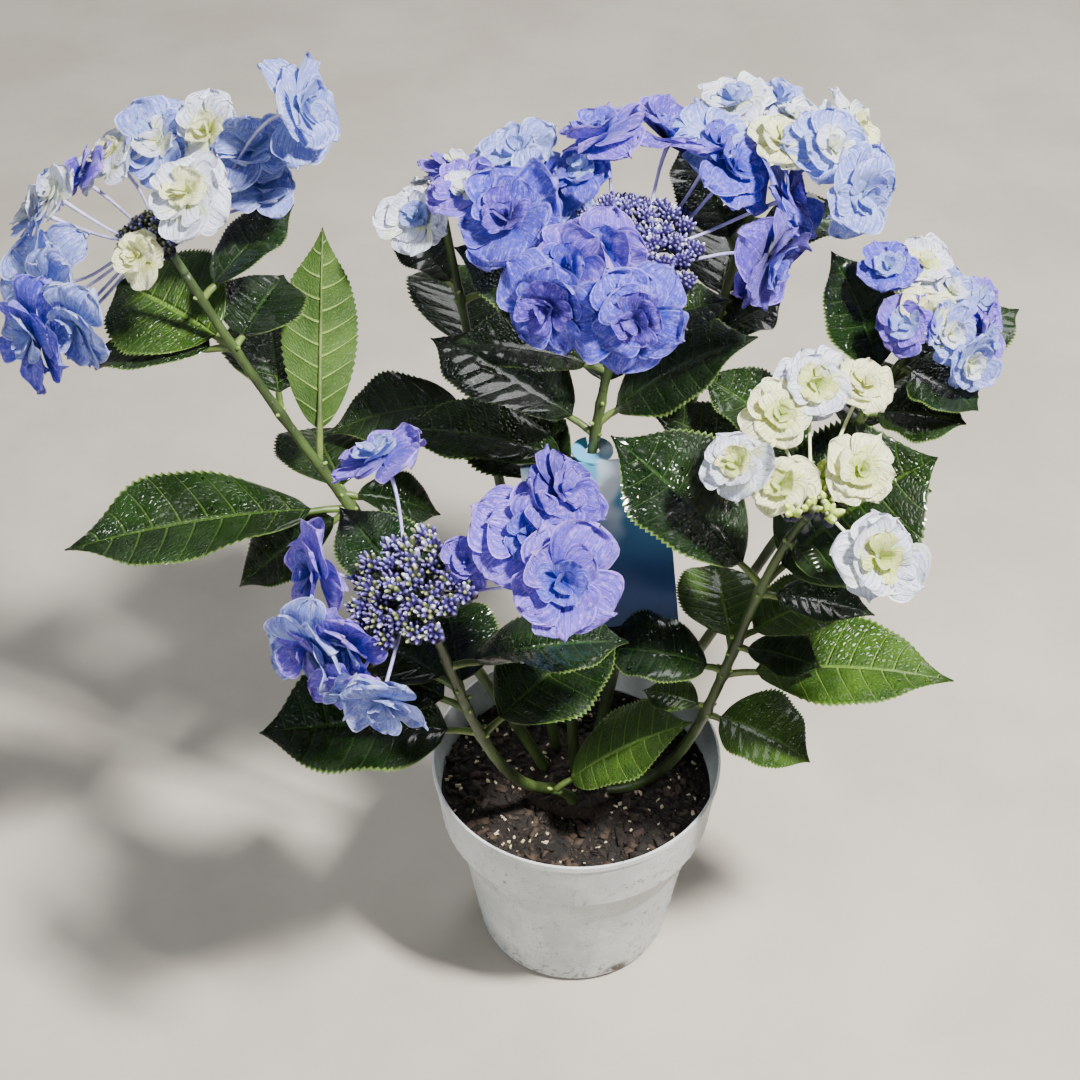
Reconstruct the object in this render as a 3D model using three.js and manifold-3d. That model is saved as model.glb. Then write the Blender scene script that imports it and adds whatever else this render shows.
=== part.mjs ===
// Potted hydrangea shrub with double lacecap flower heads, in a tapered plastic pot.
// Millimetres, +Z up. The origin is the centre of the pot's underside and the viewer stands at -Y.
import * as THREE from "three";
import { mergeVertices } from "three/addons/utils/BufferGeometryUtils.js";
import Module from "manifold-3d";

const wasm = await Module();
wasm.setup();

// Pot
const RIM_RADIUS = 75;
const POT_HEIGHT = 128;
const FOOT_RADIUS = 52;
const FOOT_ROUND = 5;
const WALL = 1.6;
const NECK_HEIGHT = 69;
const NECK_RADIUS = 61.3;
const STEP_HEIGHT = 93;
const STEP_DEPTH = 0.8;
const STEP_RADIUS = 71;
const LIP_HEIGHT = 4;
const LIP_OVERHANG = 1.5;
const LIP_BEVEL = 0.6;
const DRAIN_RADIUS = 4;
const DRAIN_RING = 34;
const DRAIN_COUNT = 6;

// Soil, crown and shoots
const GAP = 0.3;
const SOIL_LEVEL = 105;
const SOIL_HOLLOW = 3;
const SOIL_CLEAR = 0.8;
const CROWN_RADIUS = 26;
const CROWN_BACK = 5;
const CROWN_TOP = 110;
const FOOT_THICKNESS = 3.1;
const TIP_THICKNESS = 2;
const PETIOLE_SHARE = 0.2;
const PETIOLE_THICKNESS = 1.6;
const BLADE_THICKNESS = 1.3;
const BLADE_WIDEST = 0.42;
const BLADE_FOLD = 0.22;
const PEDICEL_THICKNESS = 0.9;
const PETALS = 5;
const PETAL_LOBE = 0.09;
const CUP_DEPTH = 0.4;
const RAYS = 5;
const RAY_THICKNESS = 1.2;
const DISC_THICKNESS = 0.22;

// Label card
const CARD_WIDTH = 68;
const CARD_HEIGHT = 100;
const CARD_THICKNESS = 1;
const CARD_ROLL = 6;
const CARD_LEAN = 8;
const CARD_PLACE = 0.69;
const HOOK_RADIUS = 10;
const HOOK_BORE = 3.4;
const HOOK_SLOT = 3;

// Each shoot: the four handles of its curve, where its bare stem ends, its leaves and its head.
// A leaf: place along the shoot, compass, rise, roll, reach, width, droop.
// A floret: round the head, reach from its middle, lift off the disc, nod outwards, diameter.
const SHOOTS = {
  left: {
    path: [[-16, 6, CROWN_TOP], [-70, 12, 230], [-125, 28, 290], [-176, 42, 400]],
    bareTo: 0.54,
    leaves: [
      [0.88, 144, 5, 20, 74, 62, 20],
      [0.88, 162, -18, 0, 84, 44, 20],
      [0.88, 67, 10, 0, 50, 46, 20],
      [0.96, 40, 28, 0, 60, 32, 20],
      [0.66, 88, 52, 165, 112, 36, 10],
      [0.57, 196, 3, 0, 136, 60, 20],
      [0.57, 205, -25, 0, 66, 44, 20],
      [0.6, 5, -20, 0, 50, 34, 30],
      [0.76, 100, -5, 0, 90, 52, 40],
      [0.58, 110, -10, 0, 80, 48, 40],
    ],
    head: {
      tilt: 25, compass: 170, rise: 24, disc: 22,
      florets: [
        [149, 73, 18, 35, 42], [166, 72, -2, 25, 46], [184, 64, -2, 35, 46], [206, 74, -8, 50, 46],
        [127, 78, 17, 40, 38], [113, 76, 17, 20, 38], [94, 67, 13, -30, 42], [70, 63, 11, -20, 38],
        [325, 36, 21, 10, 38], [20, 56, 12, 30, 38], [20, 51, -6, 40, 32], [5, 86, 20, 60, 48],
        [266, 30, 6, 20, 24], [222, 58, -8, 70, 42], [150, 52, 26, 20, 28],
      ],
    },
  },
  centre: {
    path: [[0, 4, CROWN_TOP], [-8, 20, 200], [2, 32, 300], [20, 42, 396]],
    bareTo: 0.54,
    leaves: [
      [0.72, 150, 14, 0, 94, 60, 30],
      [0.6, 145, 12, 0, 88, 58, 30],
      [0.74, 2, 34, 0, 88, 62, 30],
      [0.66, 170, 5, 0, 98, 46, 30],
      [0.9, 8, 16, 0, 56, 34, 20],
      [0.9, 163, 24, 20, 84, 54, 30],
      [0.84, 185, 15, 0, 76, 44, 30],
      [0.78, 80, -5, 0, 85, 50, 40],
    ],
    head: {
      tilt: 8, compass: 280, rise: 24, disc: 32,
      florets: [
        [171, 55, 6, 20, 50], [142, 47, 6, 10, 46], [134, 73, 6, 40, 40], [221, 38, 8, 30, 46],
        [231, 59, 2, 60, 46], [234, 24, 12, 40, 40], [270, 58, 8, 50, 50], [342, 66, 4, 60, 46],
        [17, 77, 8, 60, 42], [30, 55, 20, 40, 40], [66, 48, 26, 30, 42], [108, 46, 28, 30, 44],
        [46, 56, 24, 20, 38], [131, 34, 20, 20, 28],
      ],
    },
  },
  back_right: {
    path: [[10, 18, CROWN_TOP], [30, 50, 210], [60, 80, 320], [84, 98, 420]],
    bareTo: 0.6,
    leaves: [
      [0.86, 125, 40, 0, 60, 44, 20],
      [0.88, 5, 8, 0, 60, 40, 30],
      [0.72, 20, 22, 0, 40, 36, 30],
      [0.76, 80, 0, 0, 90, 52, 40],
      [0.64, 140, -5, 0, 80, 48, 40],
    ],
    head: {
      tilt: 20, compass: 60, rise: 16, disc: 14,
      florets: [
        [182, 21, 14, 20, 38], [78, 18, 14, 20, 38], [192, 16, 4, 10, 24], [271, 34, 6, 10, 30],
        [299, 45, 8, 30, 40], [0, 39, 8, 40, 38], [301, 71, -6, 80, 40], [0, 10, 10, 10, 32],
      ],
    },
  },
  far_right: {
    path: [[18, 7, CROWN_TOP], [70, 14, 200], [110, 30, 290], [152, 40, 362]],
    bareTo: 0.6,
    leaves: [
      [0.9, 128, 52, 0, 68, 44, 20],
      [0.9, 33, 8, 0, 84, 44, 30],
      [0.95, 325, -10, 0, 42, 48, 30],
      [0.84, 340, 8, 0, 48, 52, 30],
      [0.7, 150, 28, 0, 76, 48, 30],
      [0.64, 156, 20, 0, 87, 40, 30],
      [0.76, 60, -5, 0, 85, 50, 40],
      [0.64, 20, -12, 0, 75, 46, 40],
    ],
    head: {
      tilt: 25, compass: 320, rise: 16, disc: 12,
      florets: [
        [140, 32, 10, 30, 30], [106, 26, 12, 20, 30], [197, 17, 4, 30, 28], [168, 6, 8, 10, 26],
        [312, 10, 6, 20, 28], [34, 32, 4, 30, 28], [3, 30, 0, 50, 30], [62, 17, 10, 20, 28],
        [312, 26, 2, 50, 28],
      ],
    },
  },
  right: {
    path: [[16, -8, CROWN_TOP], [72, -14, 118], [66, -32, 262], [97, -42, 330]],
    bareTo: 0.36,
    leaves: [
      [0.8, 150, 35, 0, 98, 68, 20],
      [0.8, 12, 40, -20, 100, 78, 30],
      [0.78, 345, 0, 0, 54, 30, 30],
      [0.93, 310, -20, 0, 24, 14, 20],
      [0.66, 20, 12, 0, 56, 40, 30],
      [0.56, 350, 8, 0, 110, 54, 30],
      [0.44, 332, -6, 0, 58, 50, 40],
      [0.64, 340, 0, 0, 42, 30, 20],
      [0.57, 174, 8, 0, 62, 48, 35],
      [0.46, 160, 0, 0, 34, 26, 30],
      [0.62, 96, 6, 0, 58, 44, 40],
    ],
    head: {
      tilt: 15, compass: 290, rise: 18, disc: 14,
      florets: [
        [165, 36, 8, 30, 32], [177, 16, 6, 20, 30], [116, 34, 16, 0, 32], [89, 45, 20, -10, 34],
        [64, 54, 18, 20, 28], [17, 20, 12, 10, 32], [308, 43, 4, 30, 42],
      ],
    },
  },
  front_left: {
    path: [[-12, -8, CROWN_TOP], [-40, -45, 150], [-52, -64, 225], [-68, -76, 308]],
    bareTo: 0.5,
    leaves: [
      [0.56, 184, 4, 0, 104, 74, 25],
      [0.74, 150, 5, 0, 70, 50, 30],
      [0.82, 4, 7, 18, 82, 62, 25],
      [0.54, 32, 22, 0, 86, 62, 30],
      [0.92, 130, 22, 0, 76, 40, 30],
    ],
    head: {
      tilt: 30, compass: 235, rise: 24, disc: 26,
      florets: [
        [101, 66, 6, 30, 42], [165, 48, 2, 60, 42], [204, 54, -2, 60, 42], [222, 38, 0, 60, 36],
        [255, 51, -6, 80, 38], [235, 52, -10, 80, 34], [14, 60, 8, 20, 50], [355, 71, 6, 40, 48],
        [25, 80, 6, 60, 40], [16, 30, 4, 20, 24],
      ],
    },
  },
  basal: {
    path: [[-2, -16, CROWN_TOP], [-3, -17, 116], [-7, -20, 121], [-12, -22, 125]],
    bareTo: 0.3,
    leaves: [
      [0.95, 0, 37, 0, 86, 52, 25],
    ],
  },
  back_left: {
    path: [[-10, 20, CROWN_TOP], [-30, 60, 210], [-50, 90, 300], [-64, 108, 385]],
    bareTo: 0.6,
    leaves: [
      [0.86, 155, 38, 0, 48, 34, 30],
      [0.84, 20, 10, 0, 60, 40, 30],
      [0.72, 100, 0, 0, 90, 52, 40],
      [0.64, 190, -5, 0, 80, 48, 40],
    ],
    head: {
      tilt: 25, compass: 130, rise: 14, disc: 10,
      florets: [
        [36, 15, 10, 20, 32], [79, 16, 6, 20, 30], [258, 39, 0, 40, 32], [291, 50, 8, 20, 32],
        [336, 40, 12, 20, 32],
      ],
    },
  },
};

// Colours and finishes
const GREEN_STEM = { color: 0x5f7a35, roughness: 0.5, metalness: 0 };
const GREEN_LEAF = { color: 0x2f4d22, roughness: 0.35, metalness: 0 };
const BLUE_PETAL = { color: 0x8f96dc, roughness: 0.6, metalness: 0 };
const CREAM_PETAL = { color: 0xeeedd2, roughness: 0.6, metalness: 0 };
const POT_PLASTIC = { color: 0xc9cdd0, roughness: 0.55, metalness: 0 };
const DARK_SOIL = { color: 0x2c1f18, roughness: 0.95, metalness: 0 };
const BARK = { color: 0x5a4632, roughness: 0.9, metalness: 0 };
const CARD_BLUE = { color: 0x5f93b5, roughness: 0.4, metalness: 0 };

const plant = new THREE.Group();
const radians = THREE.MathUtils.degToRad;

// The flowers turn a little towards the light at the viewer's side.
const LIGHT = new THREE.Vector3(0, -1, 0);
const LIGHT_PULL = 0.45;

// A repeatable wobble between -1 and 1 for the given pair of counters.
function wobble(a, b) {
  const value = Math.sin(a * 12.9898 + b * 78.233) * 43758.5453;
  return 2 * (value - Math.floor(value)) - 1;
}

// The unit vector that points along a compass angle and a rise above the level.
function direction(compass, rise) {
  const flat = Math.cos(radians(rise));
  return new THREE.Vector3(
    flat * Math.cos(radians(compass)),
    flat * Math.sin(radians(compass)),
    Math.sin(radians(rise)),
  );
}

// The curve of a shoot through its four handles.
function shootCurve(shape) {
  return new THREE.CubicBezierCurve3(...shape.path.map((p) => new THREE.Vector3(...p)));
}

// A closed geometry as a solid that can be joined and cut.
function solid(geometry) {
  const bare = geometry.clone();
  bare.deleteAttribute("normal");
  bare.deleteAttribute("uv");
  const merged = mergeVertices(bare, 1e-4);
  const vertProperties = new Float32Array(merged.attributes.position.array);
  const triVerts = new Uint32Array(merged.index.array);
  return new wasm.Manifold(new wasm.Mesh({ numProp: 3, vertProperties, triVerts }));
}

// Several solids that overlap, as one.
function join(solids) {
  return solids.reduce((whole, next) => whole.add(next));
}

// A named sub-part made from a solid.
function addPart(name, body, finish) {
  const mesh = body.getMesh();
  const geometry = new THREE.BufferGeometry();
  geometry.setAttribute("position", new THREE.BufferAttribute(new Float32Array(mesh.vertProperties), 3));
  geometry.setIndex(new THREE.BufferAttribute(new Uint32Array(mesh.triVerts), 1));
  geometry.computeVertexNormals();
  const part = new THREE.Mesh(geometry, new THREE.MeshStandardMaterial(finish));
  part.name = name;
  plant.add(part);
}

// Moves every vertex of a geometry to the place that the function gives for it.
function reshape(geometry, place) {
  const position = geometry.attributes.position;
  const point = new THREE.Vector3();
  for (let i = 0; i < position.count; i += 1) {
    point.fromBufferAttribute(position, i);
    const moved = place(point);
    position.setXYZ(i, moved.x, moved.y, moved.z);
  }
  return geometry;
}

// A tapered round limb along part of a curve, with flat ends. Its foot can stand level.
function limb(curve, from, to, thickFrom, thickTo, sides, steps, levelFoot = false) {
  const start = curve.getPoint(from);
  const run = curve.getPoint(to).sub(start);
  const upright = Math.abs(run.z) > Math.abs(run.y) ? new THREE.Vector3(0, 1, 0) : new THREE.Vector3(0, 0, 1);
  const bend = new THREE.Vector3().crossVectors(curve.getTangent(from), curve.getTangent(to));
  const across = bend.length() > 0.5 ? bend.normalize() : upright;
  return solid(reshape(new THREE.CylinderGeometry(1, 1, 1, sides, steps), (p) => {
    const along = p.y + 0.5;
    const t = from + (to - from) * along;
    const forward = levelFoot && along < 0.01 ? new THREE.Vector3(0, 0, 1) : curve.getTangent(t);
    const side = new THREE.Vector3().crossVectors(forward, across).normalize();
    const up = new THREE.Vector3().crossVectors(side, forward);
    const thick = thickFrom + (thickTo - thickFrom) * along;
    return curve.getPoint(t).addScaledVector(side, p.x * thick).addScaledVector(up, p.z * thick);
  }));
}

// The midrib of a leaf: an arc that leaves its node rising and droops along its length.
class Midrib extends THREE.Curve {
  constructor(base, compass, rise, length, droop) {
    super();
    Object.assign(this, { base, compass, length });
    this.start = radians(rise + droop / 2);
    this.bend = radians(Math.max(droop, 0.5));
  }

  getPoint(t) {
    const out = (Math.sin(this.start) - Math.sin(this.start - this.bend * t)) / this.bend;
    const up = (Math.cos(this.start - this.bend * t) - Math.cos(this.start)) / this.bend;
    const level = direction(this.compass, 0);
    return this.base.clone().addScaledVector(level, out * this.length).setZ(this.base.z + up * this.length);
  }

  getTangent(t) {
    return direction(this.compass, THREE.MathUtils.radToDeg(this.start - this.bend * t));
  }
}

// Half-width of a blade at each point from its base, 0, to its tip, 1, as a share of the widest.
function outline(u) {
  const raw = (x) => x ** 0.62 * (1 - x ** 2.2) ** 1.1;
  return u <= 0 ? 0 : raw(u) / raw(BLADE_WIDEST);
}

// One leaf: a petiole that widens into a blade, folded and curled about its midrib.
function leaf(shoot, row) {
  const [at, compass, rise, roll, reach, width, droop] = row;
  const midrib = new Midrib(shoot.getPoint(at), compass, rise, reach, droop);
  const level = direction(compass - 90, 0);
  return solid(reshape(new THREE.BoxGeometry(2, 1, 1, 2, 7, 1), (p) => {
    const t = p.y + 0.5;
    const u = (t - PETIOLE_SHARE) / (1 - PETIOLE_SHARE);
    const forward = midrib.getTangent(t);
    const side = level.clone().applyAxisAngle(forward, radians(-roll));
    const up = new THREE.Vector3().crossVectors(side, forward);
    const stalk = PETIOLE_THICKNESS * (1 - 0.8 * Math.max(u, 0));
    const half = Math.max((width / 2) * outline(u), stalk * (u < 0.9 ? 1 : 0.6));
    const thick = Math.max(BLADE_THICKNESS, PETIOLE_THICKNESS * 2 * Math.min(1, 1 - u * 4));
    const fold = u > 0 ? half * BLADE_FOLD * Math.abs(p.x) : 0;
    return midrib.getPoint(t).addScaledVector(side, p.x * half).addScaledVector(up, fold + p.z * thick);
  }));
}

// One floret on its stalk: a shallow cup with a lobed rim, facing along its axis.
function floret(root, along, place, facing, diameter, seed) {
  const radius = diameter / 2;
  const depth = radius * CUP_DEPTH;
  const back = place.clone().addScaledVector(facing, -depth);
  const toFacing = new THREE.Quaternion().setFromUnitVectors(new THREE.Vector3(0, 1, 0), facing);
  const turn = wobble(seed, 3) * Math.PI;
  const profile = [[0, 0], [1, 1], [0, 0.7]].map(([r, h]) => new THREE.Vector2(r, h));
  const flower = reshape(new THREE.LatheGeometry(profile, PETALS * 2), (p) => {
    const lobe = Math.hypot(p.x, p.z) < 0.1 ? 0 : PETAL_LOBE * Math.cos(PETALS * Math.atan2(p.x, p.z));
    const reach = radius * (1 - PETAL_LOBE + lobe);
    const spun = new THREE.Vector3(p.x * reach, depth * p.y * (1 + lobe), p.z * reach);
    return spun.applyAxisAngle(new THREE.Vector3(0, 1, 0), turn).applyQuaternion(toFacing).add(back);
  });
  const bow = root.distanceTo(back) * 0.35;
  const stalk = new THREE.CubicBezierCurve3(
    root,
    root.clone().addScaledVector(along, bow),
    back.clone().addScaledVector(facing, -bow),
    back.clone().addScaledVector(facing, depth * 0.3),
  );
  return solid(flower).add(limb(stalk, 0, 1, PEDICEL_THICKNESS, PEDICEL_THICKNESS, 3, 2));
}

// A flower head: a peduncle, rays that carry the flat mass of small buds, and the ring of florets.
function head(shoot, shape, seed) {
  const hub = shoot.getPoint(1);
  const axis = direction(shape.compass, 90 - shape.tilt);
  const right = new THREE.Vector3(1, 0, 0).addScaledVector(axis, -axis.x).normalize();
  const far = new THREE.Vector3().crossVectors(axis, right);
  const outward = (round) => right.clone().multiplyScalar(Math.cos(radians(round)))
    .addScaledVector(far, Math.sin(radians(round)));
  const foot = hub.clone().addScaledVector(shoot.getTangent(1), GAP);
  const knee = foot.clone().addScaledVector(shoot.getTangent(1), shape.rise * 0.3);
  const disc = hub.clone().addScaledVector(axis, shape.rise);
  const peduncle = new THREE.QuadraticBezierCurve3(foot, knee, disc);
  const solids = [limb(peduncle, 0, 1, TIP_THICKNESS, TIP_THICKNESS * 0.8, 6, 2)];
  for (let k = 0; k < RAYS; k += 1) {
    const end = disc.clone().addScaledVector(outward((360 * k) / RAYS + 20), shape.disc * 0.6);
    const ray = new THREE.LineCurve3(peduncle.getPoint(0.3), end);
    solids.push(limb(ray, 0, 1, RAY_THICKNESS, RAY_THICKNESS, 3, 1));
  }
  solids.push(solid(reshape(new THREE.SphereGeometry(1, 10, 4), (p) => {
    const angle = Math.atan2(p.z, p.x);
    const spread = Math.hypot(p.x, p.z);
    const bump = 1 + 0.14 * Math.cos(5 * angle + seed) * spread;
    const height = p.y * shape.disc * DISC_THICKNESS - (spread * spread * shape.disc) / 6;
    return disc.clone().addScaledVector(outward(THREE.MathUtils.radToDeg(-angle)), spread * shape.disc * bump)
      .addScaledVector(axis, height);
  })));
  shape.florets.forEach(([round, reach, lift, nod, diameter], k) => {
    const out = outward(round);
    const place = disc.clone().addScaledVector(out, reach).addScaledVector(axis, lift);
    const facing = axis.clone().multiplyScalar(Math.cos(radians(nod)))
      .addScaledVector(out, Math.sin(radians(nod))).addScaledVector(LIGHT, LIGHT_PULL).normalize();
    const root = disc.clone().addScaledVector(out, Math.min(shape.disc * 0.55, reach * 0.8))
      .addScaledVector(axis, -shape.disc * 0.1);
    solids.push(floret(root, out, place, facing, diameter, seed * 20 + k));
  });
  return join(solids);
}

// A profile turned about the Z axis.
function lathe(points, segments) {
  const geometry = new THREE.LatheGeometry(points, segments);
  geometry.rotateX(Math.PI / 2);
  return geometry;
}

// The pot: its outline from the middle of its underside, up the neck and collar, and down the inside.
function pot() {
  const slope = (RIM_RADIUS - LIP_OVERHANG - STEP_RADIUS) / (POT_HEIGHT - LIP_HEIGHT - STEP_HEIGHT);
  const collar = (z) => STEP_RADIUS + slope * (z - STEP_HEIGHT);
  const profile = new THREE.Path();
  profile.moveTo(0, 0);
  profile.lineTo(FOOT_RADIUS - FOOT_ROUND, 0);
  profile.quadraticCurveTo(FOOT_RADIUS - 1, 0, FOOT_RADIUS, FOOT_ROUND);
  profile.lineTo(NECK_RADIUS, NECK_HEIGHT);
  profile.lineTo(STEP_RADIUS - STEP_DEPTH, STEP_HEIGHT - STEP_DEPTH);
  profile.lineTo(STEP_RADIUS, STEP_HEIGHT);
  profile.lineTo(collar(POT_HEIGHT - LIP_HEIGHT), POT_HEIGHT - LIP_HEIGHT);
  profile.lineTo(RIM_RADIUS, POT_HEIGHT - LIP_HEIGHT + LIP_OVERHANG);
  profile.lineTo(RIM_RADIUS, POT_HEIGHT - LIP_BEVEL);
  profile.lineTo(RIM_RADIUS - LIP_BEVEL, POT_HEIGHT);
  profile.lineTo(RIM_RADIUS - LIP_OVERHANG - WALL, POT_HEIGHT);
  profile.lineTo(STEP_RADIUS - WALL, STEP_HEIGHT);
  profile.lineTo(NECK_RADIUS - WALL, NECK_HEIGHT);
  profile.lineTo(FOOT_RADIUS - WALL, FOOT_ROUND);
  profile.lineTo(FOOT_RADIUS - FOOT_ROUND, WALL);
  profile.lineTo(0, WALL);
  let body = solid(lathe(profile.getPoints(2), 36));
  for (let k = 0; k < DRAIN_COUNT; k += 1) {
    const hole = new THREE.CylinderGeometry(DRAIN_RADIUS, DRAIN_RADIUS, WALL * 3, 8);
    hole.rotateX(Math.PI / 2);
    hole.translate(DRAIN_RING * Math.cos((k * Math.PI * 2) / DRAIN_COUNT),
      DRAIN_RING * Math.sin((k * Math.PI * 2) / DRAIN_COUNT), WALL / 2);
    body = body.subtract(solid(hole));
  }
  return body;
}

// The pot's inner radius at a height above its step.
function innerRadius(z) {
  const share = (z - STEP_HEIGHT) / (POT_HEIGHT - STEP_HEIGHT);
  return STEP_RADIUS - WALL + share * (RIM_RADIUS - LIP_OVERHANG - STEP_RADIUS);
}

// The soil fills the pot, a little lower round the crown, with an uneven top.
function soil() {
  const floor = WALL + GAP;
  const top = SOIL_LEVEL - SOIL_HOLLOW;
  const points = [
    [0, floor],
    [FOOT_RADIUS - FOOT_ROUND - SOIL_CLEAR * 2, floor],
    [FOOT_RADIUS - WALL - SOIL_CLEAR, FOOT_ROUND],
    [NECK_RADIUS - WALL - SOIL_CLEAR, NECK_HEIGHT],
    [innerRadius(STEP_HEIGHT) - SOIL_CLEAR, STEP_HEIGHT],
    [innerRadius(SOIL_LEVEL) - SOIL_CLEAR, SOIL_LEVEL],
    [CROWN_RADIUS + 32, SOIL_LEVEL + 2],
    [CROWN_RADIUS + 20, SOIL_LEVEL + 1],
    [CROWN_RADIUS + 10, top],
    [0, top],
  ].map(([r, z]) => new THREE.Vector2(r, z));
  return solid(reshape(lathe(points, 24), (p) => {
    const r = Math.hypot(p.x, p.y);
    const uneven = r > CROWN_RADIUS + 12 && r < 62 && p.z > top ? 1.8 : 0;
    return p.clone().setZ(p.z + uneven * Math.sin(p.x * 0.21 + 1) * Math.cos(p.y * 0.17));
  }));
}

// The woody crown that the shoots stand on.
function crown() {
  const bottom = SOIL_LEVEL - SOIL_HOLLOW + GAP;
  const top = CROWN_TOP - GAP;
  const stump = new THREE.CylinderGeometry(CROWN_RADIUS - 1, CROWN_RADIUS + 2, top - bottom, 20, 1);
  stump.rotateX(Math.PI / 2);
  reshape(stump, (p) => {
    const bump = 1 + 0.05 * Math.sin(Math.atan2(p.y, p.x) * 4);
    return new THREE.Vector3(p.x * bump, p.y * bump, p.z);
  });
  stump.translate(0, CROWN_BACK, (top + bottom) / 2);
  return solid(stump);
}

// The plain label card. Its open hook lies level round the middle shoot and the card hangs in front.
function labelCard(shoot) {
  const hang = shoot.getPoint(CARD_PLACE);
  const slot = Math.asin(HOOK_SLOT / HOOK_RADIUS);
  const ring = new THREE.Shape();
  ring.absarc(0, 0, HOOK_RADIUS, Math.PI / 2 + slot, Math.PI * 2.5 - slot, false);
  ring.absarc(0, 0, HOOK_BORE, Math.PI * 2.5 - slot * 2, Math.PI / 2 + slot * 2, true);
  const flat = { depth: CARD_THICKNESS, bevelEnabled: false, curveSegments: 8 };
  const hook = new THREE.ExtrudeGeometry(ring, flat);
  const panel = new THREE.BoxGeometry(CARD_WIDTH, CARD_THICKNESS, CARD_HEIGHT);
  panel.translate(0, 0, CARD_THICKNESS - CARD_HEIGHT / 2);
  panel.rotateY(-radians(CARD_ROLL));
  panel.rotateX(-radians(CARD_LEAN));
  panel.translate(hang.x, hang.y + CARD_THICKNESS - HOOK_RADIUS, hang.z);
  hook.translate(hang.x, hang.y, hang.z);
  return solid(hook).add(solid(panel));
}

addPart("pot", pot(), POT_PLASTIC);
addPart("soil", soil(), DARK_SOIL);
addPart("crown", crown(), BARK);

Object.entries(SHOOTS).forEach(([name, shape], k) => {
  const curve = shootCurve(shape);
  const thick = (t) => FOOT_THICKNESS + (TIP_THICKNESS - FOOT_THICKNESS) * t;
  const cut = GAP / curve.getLength();
  const stem = limb(curve, 0, shape.bareTo, thick(0), thick(shape.bareTo), 6, 5, true);
  const twig = limb(curve, shape.bareTo + cut, 1, thick(shape.bareTo), thick(1), 6, 5);
  addPart(`stem_${name}`, stem, GREEN_STEM);
  addPart(`foliage_${name}`, join([twig, ...shape.leaves.map((row) => leaf(curve, row))]), GREEN_LEAF);
  const petals = name === "right" ? CREAM_PETAL : BLUE_PETAL;
  if (shape.head) addPart(`head_${name}`, head(curve, shape.head, k + 1), petals);
});

addPart("label_card", labelCard(shootCurve(SHOOTS.centre)), CARD_BLUE);

export default plant;
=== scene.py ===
from math import atan2, cos, hypot, pi, radians, sin, sqrt

import bpy
import numpy as np
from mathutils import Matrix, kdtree


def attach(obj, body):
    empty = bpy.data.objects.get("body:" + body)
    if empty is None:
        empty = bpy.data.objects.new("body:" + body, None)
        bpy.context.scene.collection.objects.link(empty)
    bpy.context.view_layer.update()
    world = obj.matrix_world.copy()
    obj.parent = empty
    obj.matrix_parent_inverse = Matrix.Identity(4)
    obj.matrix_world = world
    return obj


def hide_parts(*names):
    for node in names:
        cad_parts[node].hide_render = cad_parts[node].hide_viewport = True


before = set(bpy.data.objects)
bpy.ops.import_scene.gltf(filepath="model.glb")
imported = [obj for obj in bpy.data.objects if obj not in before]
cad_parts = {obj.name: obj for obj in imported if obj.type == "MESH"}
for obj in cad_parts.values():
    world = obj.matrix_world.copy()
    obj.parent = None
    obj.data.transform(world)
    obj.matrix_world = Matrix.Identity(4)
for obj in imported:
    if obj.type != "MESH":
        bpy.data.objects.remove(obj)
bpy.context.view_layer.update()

# Pot, soil and crown, as the solids have them but for a finer lip
RIM_RADIUS = 75
POT_HEIGHT = 128
POT_SIDES = 160
FOOT_RADIUS = 52
FOOT_ROUND = 5
WALL = 1.6
NECK_HEIGHT = 69
NECK_RADIUS = 61.3
STEP_HEIGHT = 93
STEP_DEPTH = 0.8
STEP_RADIUS = 71
LIP_HEIGHT = 4
LIP_OVERHANG = 0.5
LIP_WALL = 0.8
LIP_ROUND = 0.4
SHARP_ANGLE = 34
DRAIN_RADIUS = 4
DRAIN_RING = 34
DRAIN_COUNT = 6
DRAIN_SIDES = 24
SOIL_LEVEL = 105
SOIL_GAP = 0.8
SOIL_DISH = 3
SOIL_BANK = 1.5
SOIL_RINGS = 60
SOIL_SIDES = 150
CROWN_RADIUS = 26
CROWN_BACK = 5
CROWN_TOP = 110
CHIP_COUNT = 4500
CHIP_SPREAD = 68.5
CHIP_LEAST = 0.6
CHIP_RANGE = 2.8
GRIT_RANGE = 0.6
GRIT_FROM = 0.92
POT_DROPS = 1400
DROPS_LOW = 6
DROPS_HIGH = 110
SMUDGE = (0.022, -0.0465, 0.004)
MM = 0.001

# Stems, leaves, drops and flowers
FOOT_THICKNESS = 3.1
TIP_THICKNESS = 2
STEM_STEPS = 110
STEM_SIDES = 18
STEM_UNEVEN = 0.03
STEM_SWELL = 0.2
SWELL_LENGTH = 0.012
PETIOLE_SHARE = 0.15
PETIOLE_THICKNESS = 1.6
BLADE_THICKNESS = 0.35
BLADE_FOLD = 0.22
BLADE_WIDEST = 0.42
BLADE_QUILT = 1.15
BLADE_TWIST = 0.3
TIP_PINCH = 0.45
BLADE_ROWS = 91
BLADE_COLUMNS = 15
TEETH = 30
TOOTH_DEPTH = 0.1
VEINS = 9
VEIN_STAGGER = 0.25
VEIN_SWEEP = 0.3
DROP_LEAST = 0.3
DROP_RANGE = 0.9
LEAF_DROP_HEIGHT = 0.6
POT_DROP_HEIGHT = 0.45
DROPS_FOR_WIDTH = {"deep": 1.2, "mid": 0.5, "bright": 0.4}
CUP_DEPTH = 0.4
STALK_THICKNESS = 0.75
STALK_FLARE = 0.55
RAY_THICKNESS = 0.95
RAY_TIP_THICKNESS = 0.5
NECK_THICKNESS = 1.6
BUD_LENGTH = 2.1
BUD_VARIETY = 0.22
SHOOT_BUD_LENGTH = 1.8
PETAL_ROWS = 11
PETAL_COLUMNS = 15
PETAL_WAIST = 0.62
PETAL_WAVER = 0.05
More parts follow.
